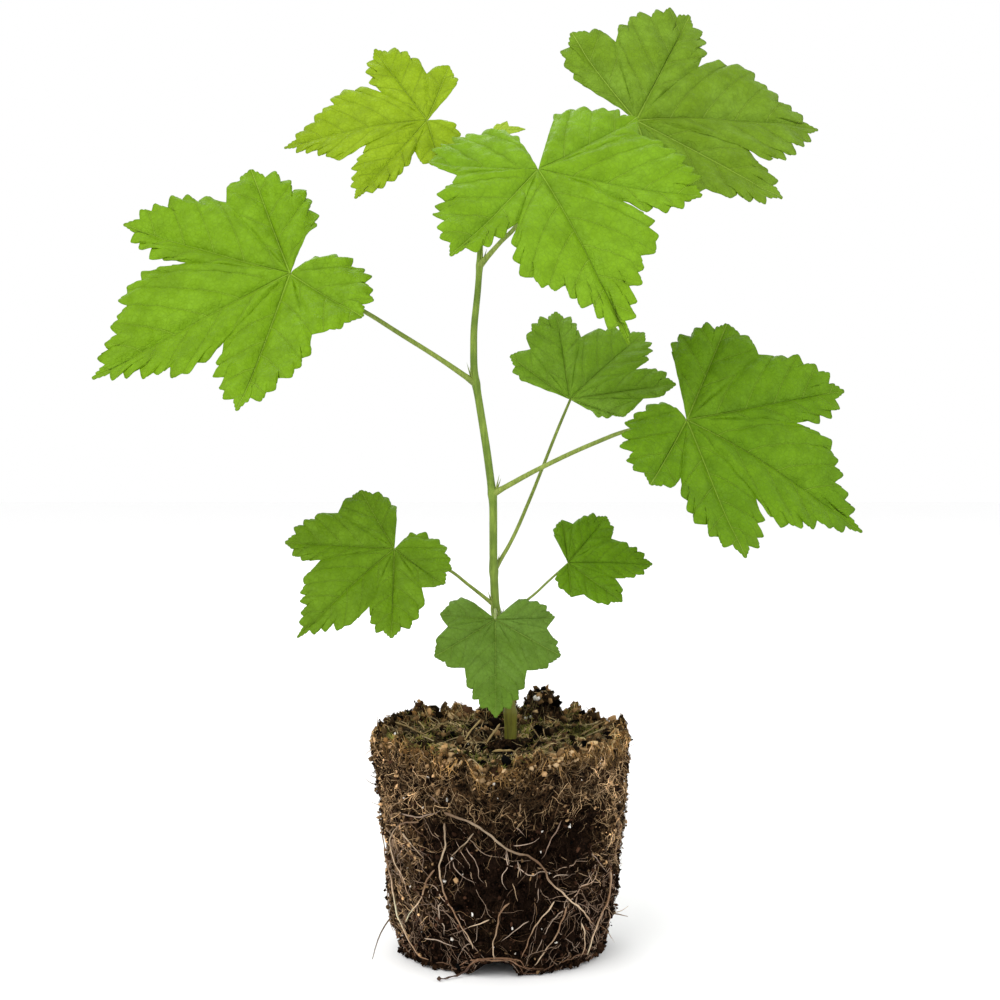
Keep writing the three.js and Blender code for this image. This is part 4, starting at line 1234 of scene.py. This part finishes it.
thinRoots = [  # finer ones, as thickness and path
    (1.5, [(-50, 72), (-44, 72), (-39, 72), (-34, 74), (-30, 75), (-27, 77)]),
    (1.0, [(-28, 80), (-31, 82), (-34, 83)]),
    (1.2, [(-30, 34), (-32, 31), (-31, 26), (-28, 23), (-29, 19)]),
    (1.0, [(13, 27), (9, 25), (4, 21), (0, 18)]),
    (0.9, [(-16, 61), (-13, 56), (-11, 52), (-10, 48), (-8, 45)]),
    (0.9, [(-22, 54), (-21, 51), (-19, 48), (-15, 46), (-11, 45)]),
    (1.3, [(27, 72), (22, 62), (20, 58), (18, 55)]),
    (1.0, [(45, 55), (47, 53), (52, 49), (60, 42)]),
    (1.0, [(2, 59), (2, 52), (0, 48), (2, 42)]),
    (0.8, [(5, 62), (8, 62), (14, 63), (17, 65)]),
    (0.8, [(7, 55), (8, 51), (8, 48)]),
    (0.8, [(6, 70), (8, 69), (10, 66)]),
    (0.9, [(17, 42), (17, 38), (16, 35)]),
    (0.8, [(24, 46), (27, 47), (33, 46)]),
    (1.2, [(-43, 15), (-32, 16), (-22, 14)]),
    (1.0, [(-16, 24), (-20, 22), (-27, 19)]),
]
archRoots = [  # reddish ones that bridge the worn gap at the foot
    (1.9, [(-21, 1), (-15, 7), (-9, 9.5), (-1, 10), (5, 9.5), (8, 7), (12, 1)]),
    (1.5, [(-18, 5), (-12, 9), (-4, 8.6), (4, 9), (9, 6), (16, 3)]),
    (1.2, [(-26, 3), (-17, 8), (-8, 8.6), (0, 9), (8, 9), (13, 5), (24, 3)]),
]
backRoots = {
    "count": 8, "first": 102, "last": 272, "width": 1.6, "top": 60, "drop": 26, "bottom": 4, "step": 7,
    "stray": 10, "pull": 0.35, "seed": 41,
}
floorRoot = {  # its end lies out over the floor, in mm
    "spots": [(-12.5, -47.5, 8), (-16.5, -46.5, 2.2), (-22.5, -50, 1.0), (-28.8, -53.8, 1.2)],
    "steps": 22, "radius": 0.55, "taper": 0.08, "knobAt": 2.9, "knob": 0.85, "knobReach": 0.12, "tip": 0.3,
}


def roundRoots():
    # the same wandering roots round the back as in the solids
    state = backRoots["seed"]

    def roll():
        nonlocal state
        state = state * 16807 % 2147483647
        return state / 2147483647

    made = []
    for i in range(backRoots["count"]):
        home = backRoots["first"] + (backRoots["last"] - backRoots["first"]) * i / (backRoots["count"] - 1)
        azimuth, z, spots = home, backRoots["top"] - backRoots["drop"] * roll(), []
        while z > backRoots["bottom"]:
            spots.append((azimuth, z))
            azimuth += backRoots["stray"] * (roll() - 0.5) + backRoots["pull"] * (home - azimuth)
            z -= backRoots["step"]
        made.append((f"root_round_{i + 1}", backRoots["width"] * (0.8 + 0.4 * roll()), spots))
    return made


def makeRoots():
    bare, stained = plainTone(rootSet["bare"]), plainTone(rootSet["stained"])
    for name, thick, spots in frontRoots + roundRoots():
        place, out, width, a, z = rootPath(spots, thick)
        share = (0.5 + 0.5 * np.sin(np.arange(len(place)) / 9 + thick * 11))[:, None]
        brighter = 0.54 + 0.54 * smoothstep(70 - z, 0, 45)  # towards the foot
        tints = (bare * share + stained * (1 - share)) * brighter[:, None]
        tints = np.minimum(tints * paleAt(a) ** 0.5, 0.7)
        parts = (part[None] for part in (place, out, width, tints))
        strandMesh(f"{name}_limb", *parts, 10, rootSkin, [name], "roots")
        forks = max(1, len(place) // rootSet["forkEvery"])  # thin roots that fork from it
        at = dice.integers(2, len(place) - 2, forks)
        heading = eitherWay(forks, *forkSet["turn"])
        way = ballSet["height"] - z[at]
        paths, outs = walk(a[at], way, heading, rootSet["forkSteps"], 1.7, 0.2, (0.7, 0.5))[:2]
        paths[:, 0] = place[at]
        radii = dice.uniform(*rootSet["forkRadius"], forks) * thick / rootSet["usual"]
        radii = taper(radii, rootSet["forkSteps"])
        tints = tone(*rootSet["forkTones"], forks, 0.08)
        strandMesh(f"{name}_forks", paths, outs, radii, tints, 6, rootSkin, slot="roots")


def makeThinRoots():
    steps = 26
    for name, roots, low, high in (("roots_named", thinRoots, (124, 102, 86), (190, 170, 150)),
                                   ("roots_arch", archRoots, (108, 78, 56), (160, 126, 98))):
        made = [rootPath(spots, thick, steps=steps) for thick, spots in roots]
        paths, outs, radii = (np.array([m[i] for m in made]) for i in range(3))
        share = np.linspace(0, 1, steps)[None, :]
        radii = radii * np.minimum(1, 0.3 + 4 * share) * np.minimum(1, 0.25 + 2.2 * (1 - share))
        strandMesh(name, paths, outs, radii, tone(low, high, len(roots), 0.08), 7, rootSkin)


def makeFloorRoot():
    spots = np.array(floorRoot["spots"])
    at = np.linspace(0, len(spots) - 1, floorRoot["steps"])
    path = np.stack([np.interp(at, range(len(spots)), spots[:, i]) for i in range(3)], 1)
    path[:, 2] += 0.25 * np.sin(at * 7)
    knob = floorRoot["knob"] * bell(at, floorRoot["knobAt"], floorRoot["knobReach"])
    radii = floorRoot["radius"] - floorRoot["taper"] * at + 0.1 * np.sin(at * 9) + knob
    radii[-1] = floorRoot["tip"]
    tints = tone((60, 44, 36), (84, 62, 50), 1)
    strandMesh("root_floor", path[None], (0.5, -0.3, 0.8), radii[None], tints, 7, rootSkin)


# Lumps: one small shape scattered many times, with its sizes in mm and its darkest and lightest tones
crumbSets = {
    "side": {
        "count": 7800, "size": (0.4, 1.5, 3),
        "bare": ((3, 2, 1), (66, 45, 33)), "matted": ((20, 13, 8), (178, 144, 104)),
    },
    "top": {
        "count": 2900, "size": (0.7, 3.1, 2.4), "clear": 5,
        # sunk tones are for crumbs in the hollows: bare compost, darkened further as painted shade in the
        # recesses
        "sunk": ((2, 1, 1), (30, 21, 14)), "litter": ((12, 8, 5), (164, 130, 88)),
    },
    "clods": {"count": 220, "size": (2.2, 3.4, 2), "clear": 9, "tones": ((8, 5, 3), (84, 59, 40))},
    "grains": {"count": 75, "size": (0.9, 2.3), "tones": ((118, 92, 60), (202, 174, 134))},
    "rim": {"count": 1500, "size": (0.6, 1.9, 2), "tones": ((10, 7, 4), (156, 116, 70))},
    "foot": {"count": 700, "size": (0.9, 3.0), "tones": ((12, 8, 6), (56, 38, 25))},
    "perlite": {"count": 120, "size": (0.6, 1.6), "tones": ((222, 216, 204), (250, 248, 242))},
    "flakes": {
        "count": 120, "atFront": 34, "size": (2.6, 7.0), "clear": 6,
        "tones": ((128, 94, 58), (216, 186, 138)),
    },
}
perliteOnKnob = {"a": (2.68, 2.81, 2.73), "way": (-21, -22, -24), "size": (2.6, 2.0, 1.6)}


def lumpShape(stretch=(1, 1, 1)):
    deselectAll()
    bpy.ops.mesh.primitive_ico_sphere_add(subdivisions=1, radius=0.5)
    piece = bpy.context.object
    bpy.ops.object.mode_set(mode="EDIT")
    bpy.ops.mesh.select_all(action="SELECT")
    bpy.ops.transform.resize(value=stretch, center_override=(0, 0, 0))
    bpy.ops.object.mode_set(mode="OBJECT")
    return piece


def graded(count, least, more, power):
    # many small sizes and few large ones
    return least + more * dice.random(count) ** power


def eitherTone(chosen, yes, no):
    # the first tones where chosen, and the second ones elsewhere
    return np.where(chosen[:, None], tone(*yes, len(chosen), 0.3), tone(*no, len(chosen), 0.3))


def clearOfCane(a, r, distance):
    keep = fromCane(*spotAt(a, r)) > distance
    return a[keep], r[keep]


def makeSideCrumbs(lump):
    plan = crumbSets["side"]
    count = plan["count"]
    a, way = allRound(count), dice.uniform(0, 101, count)
    size = graded(count, *plan["size"])
    places = skinAt(a, way, 0.35 * size + dice.uniform(-0.3, 0.9, count))[0]
    places[:, 2] = np.maximum(places[:, 2], size * 0.6)
    matted = dice.random(count) < 0.85 * matCover(a, places[:, 2])
    tints = eitherTone(matted, plan["matted"], plan["bare"])
    scatterMesh("crumbs_side", lump, places, size, tints * patchy(places) * paleAt(a))


def makeTopCrumbs(lump):
    plan, radius = crumbSets["top"], ballSet["rimRadius"]
    a = allRound(plan["count"])
    a, r = clearOfCane(a, radius * np.sqrt(dice.uniform(0.03, 1, plan["count"])), plan["clear"])
    size = graded(len(a), *plan["size"])
    places = skinAt(a, r - radius, 0.3 * size)[0]
    # crumbs in the hollows take the darker sunk tones: bare compost, with painted shade in the recesses
    sunk = dice.random(len(a)) < 0.15 + 0.85 * hollowAt(places[:, 0], places[:, 1])
    tints = eitherTone(sunk, plan["sunk"], plan["litter"])
    scatterMesh("crumbs_top", lump, places, size, tints * patchy(places, 1.7))


def makeClods(lump):
    # bigger ones on the top, most of them towards the rim
    plan = crumbSets["clods"]
    a = allRound(plan["count"])
    r = ballSet["litterRadius"] * dice.uniform(0.16, 1, plan["count"]) ** 0.4
    a, r = clearOfCane(a, r, plan["clear"])
    size = graded(len(a), *plan["size"])
    places = skinAt(a, r - ballSet["rimRadius"], -0.1 * size)[0]
    scatterMesh("clods_top", lump, places, size, tone(*plan["tones"], len(a), 0.2) * patchy(places, 1.5))


def makeFrontGrains(lump):
    # pale grains along the worn front of the rim
    plan = crumbSets["grains"]
    count = plan["count"]
    a, way = dice.uniform(-0.6, 0.6, count), dice.uniform(-2, 5, count)
    places = skinAt(a, way, dice.uniform(0.2, 1.0, count))[0]
    size = dice.uniform(*plan["size"], count)
    scatterMesh("grains_front", lump, places, size, tone(*plan["tones"], count, 0.1), 0.6)


def makeRimCrumbs(lump):
    plan = crumbSets["rim"]
    count = plan["count"]
    a = allRound(count)
    size = graded(count, *plan["size"])
    places = skinAt(a, dice.uniform(-5, 3, count), dice.uniform(-0.7, 0.9, count))[0]
    scatterMesh("crumbs_rim", lump, places, size, tone(*plan["tones"], count, 0.3) * patchy(places))


def makeFootCrumbs(lump):
    # loose lumps round the foot, beside the worn gap
    plan, width = crumbSets["foot"], ballSet["notchWidth"]
    count = plan["count"]
    first = ballSet["notchAt"] + width * 1.05
    a = dice.uniform(first, first + 2 * math.pi - 2.1 * width, count)
    size = dice.uniform(*plan["size"], count)
    places = skinAt(a, np.full(count, 99.0), dice.uniform(-1.0, 0.8, count))[0]
    places[:, 2] = size * 0.55 + dice.uniform(0, 3, count)
    scatterMesh("crumbs_foot", lump, places, size, tone(*plan["tones"], count, 0.2))


def makePerlite(lump):
    plan = crumbSets["perlite"]
    count = plan["count"]
    a, way = allRound(count), dice.uniform(-46, 100, count)
    size = dice.uniform(*plan["size"], count)
    a[:3], way[:3], size[:3] = perliteOnKnob["a"], perliteOnKnob["way"], perliteOnKnob["size"]
    places = skinAt(a, way, 0.35 * size)[0]
    scatterMesh("perlite", lump, places, size, tone(*plan["tones"], count, 0.03))


def makeFlakes(flake):
    plan, radius = crumbSets["flakes"], ballSet["litterRadius"]
    a = allRound(plan["count"])
    r = radius * np.sqrt(dice.uniform(0.03, 1, plan["count"]))
    front = plan["atFront"]  # more of them along the worn front
    a[:front], r[:front] = dice.uniform(-0.55, 0.75, front), dice.uniform(50, 59, front)
    a, r = clearOfCane(a, r, plan["clear"])
    size = dice.uniform(*plan["size"], len(a))
    places = skinAt(a, r - radius, np.full(len(a), 0.8))[0]
    scatterMesh("flakes", flake, places, size, tone(*plan["tones"], len(a), 0.12), 0.25)


# Moss: tufts gathered in patches, from dark green to olive
mossSet = {
    "tried": 700, "kept": 130, "each": 42, "reach": 55, "steps": 4, "length": (1.6, 4.6),
    "dark": ((40, 56, 14), (88, 104, 34)), "bright": ((120, 124, 44), (196, 188, 104)),
    "patchCount": 26, "patches": [(-43, -22, 0.3), (-9, -40, 0.12), (37, 14, 0.3)],
}


def makeMoss():
    each, reach, kept, steps = mossSet["each"], mossSet["reach"], mossSet["kept"], mossSet["steps"]
    x, y = dice.uniform(-reach, reach, mossSet["tried"]), dice.uniform(-reach, reach, mossSet["tried"])
    wet = np.array([noise.noise(Vector((i / 13, j / 13, 4.2))) for i, j in zip(x, y)])
    keep = (wet > 0.04) & (np.hypot(x, y) < reach) & (fromCane(x, y) > 8)
    keep = keep & (hollowAt(x, y) < 0.4)
    x, y, wet = x[keep][:kept], y[keep][:kept], wet[keep][:kept]
    for atX, atY, level in mossSet["patches"]:
        x = np.concatenate([x, atX + 6 * dice.normal(size=mossSet["patchCount"])])
        y = np.concatenate([y, atY + 8 * dice.normal(size=mossSet["patchCount"])])
        wet = np.concatenate([wet, np.full(mossSet["patchCount"], level)])
    a = np.repeat(np.arctan2(x, -y), each)
    r = np.repeat(np.hypot(x, y), each)
    spread = np.repeat(dice.uniform(1.2, 3.4, len(x)), each)
    a = a + dice.normal(size=len(a)) * spread / np.maximum(r, 8)
    r = np.minimum(r + dice.normal(size=len(r)) * spread, 58)
    foot = skinAt(a, r - 58.5, np.zeros(len(a)))[0]
    length = dice.uniform(*mossSet["length"], len(a))
    lean = dice.normal(size=(len(a), 3)) * 0.75
    lean[:, 2] = 1
    share = np.linspace(0, 1, steps)
    paths = foot[:, None] + unit(lean)[:, None] * (length[:, None] * share)[..., None]
    paths[:, :, 2] -= (share ** 2)[None] * length[:, None] * 0.25
    bright = np.repeat(np.clip(wet * 2.2 + dice.uniform(-0.1, 0.3, len(wet)), 0, 1), each)[:, None]
    tints = tone(*mossSet["dark"], len(a), 0.25) * (1 - bright)
    tints = (tints + tone(*mossSet["bright"], len(a), 0.25) * bright) * patchy(foot, 0.9)
    radii = taper(dice.uniform(0.12, 0.24, len(a)), steps, 0.2)
    strandMesh("moss", paths, (0.71, -0.71, 0.05), radii, tints, 3, fibreSkin)


# Stray ends: loose ones that stand off the skin, and a few long ones that show in the photo
straySet = {
    "count": 110, "steps": 9, "length": (2, 7.5), "radius": (0.13, 0.3), "longRadius": 0.42,
    "hairRadius": 0.26,
}
namedStrays = [  # angle, way over the skin, length and how far it rises
    (-1.45, 20, 6, 0.3), (-1.2, 84, 13, -1.4), (1.35, 84, 7, -0.2), (-1.5, -1, 3.6, 4.2),
]


def makeStrays():
    count, steps = straySet["count"], straySet["steps"]
    a, way = allRound(count), dice.uniform(-1, 97, count)
    foot, out = skinAt(a, way, np.full(count, 0.2))
    long = dice.uniform(*straySet["length"], count)
    extra = [skinAt(np.array(n[0]), np.array(float(n[1])), np.array(0.3)) for n in namedStrays]
    foot = np.concatenate([foot, [e[0] for e in extra]])
    out = np.concatenate([out, [e[1] for e in extra]])
    long = np.concatenate([long, [n[2] for n in namedStrays]])
    rise = np.concatenate([dice.uniform(-0.9, 0.8, count), [n[3] for n in namedStrays]])
    side = np.cross(out, [0, 0, 1.0]) * dice.uniform(-0.7, 0.7, (len(foot), 1))
    share = np.linspace(0, 1, steps)[None, :, None]
    curl = share * out[:, None]
    curl = curl + share ** 2 * (side[:, None] * 0.8 + np.array([0, 0, 1.0]) * rise[:, None, None])
    curl = curl + 0.08 * np.sin(share * 9 + np.arange(len(foot))[:, None, None]) * side[:, None]
    paths = foot[:, None] + curl * long[:, None, None]
    paths[:, :, 2] = np.maximum(paths[:, :, 2], 0.4)
    radii = dice.uniform(*straySet["radius"], len(foot))
    radii[count:-1] = straySet["longRadius"]
    radii[-1] = straySet["hairRadius"]
    tints = tone((110, 84, 58), (200, 172, 138), len(foot), 0.15)
    tints[count:] = tints[count:] * 0.45
    strandMesh("strays", paths, (0.3, -0.4, 0.86), taper(radii, steps), tints, 4, fibreSkin)


makeCamera()
makeStudio()
stalkGreen = skinMaterial("stalkSkin", (136, 152, 68), (112, 130, 50), (84, 100, 34), 110.0)[0]
for leafName, leafPlan in leafPlans.items():
    makeBlade(leafName, leafPlan)
print("leaves made")
makeCane()
for stalkName, stalkPlan in stalkPlans.items():
    makeStalk(stalkName, stalkPlan)
makeStipules()
print("cane and stalks made")
fibreSkin = tintMaterial("fibreSkin", 1400.0, 0.8, 0.4, 0.06)
rootSkin = tintMaterial("rootSkin", 700.0, 0.62, 0.45, 0.16)
crumbSkin = tintMaterial("crumbSkin", 1600.0, 0.9, 0.5, 0.02)
makeBallCore()
print("ball made")
for makeStrands in (makeFelt, makeRimFibres, makeTopFibres, makeTopStraws, makeFootFibres, makeStraws):
    makeStrands()
makeRoots()
makeThinRoots()
makeFloorRoot()
print("fibres and roots made")
lump = lumpShape()
for makeLumps in (makeSideCrumbs, makeTopCrumbs, makeClods, makeFrontGrains, makeRimCrumbs,
                  makeFootCrumbs, makePerlite):
    makeLumps(lump)
bpy.data.objects.remove(lump)
flake = lumpShape((1, 0.36, 0.16))
makeFlakes(flake)
bpy.data.objects.remove(flake)
makeMoss()
makeStrays()
print("crumbs, moss and stray ends made")
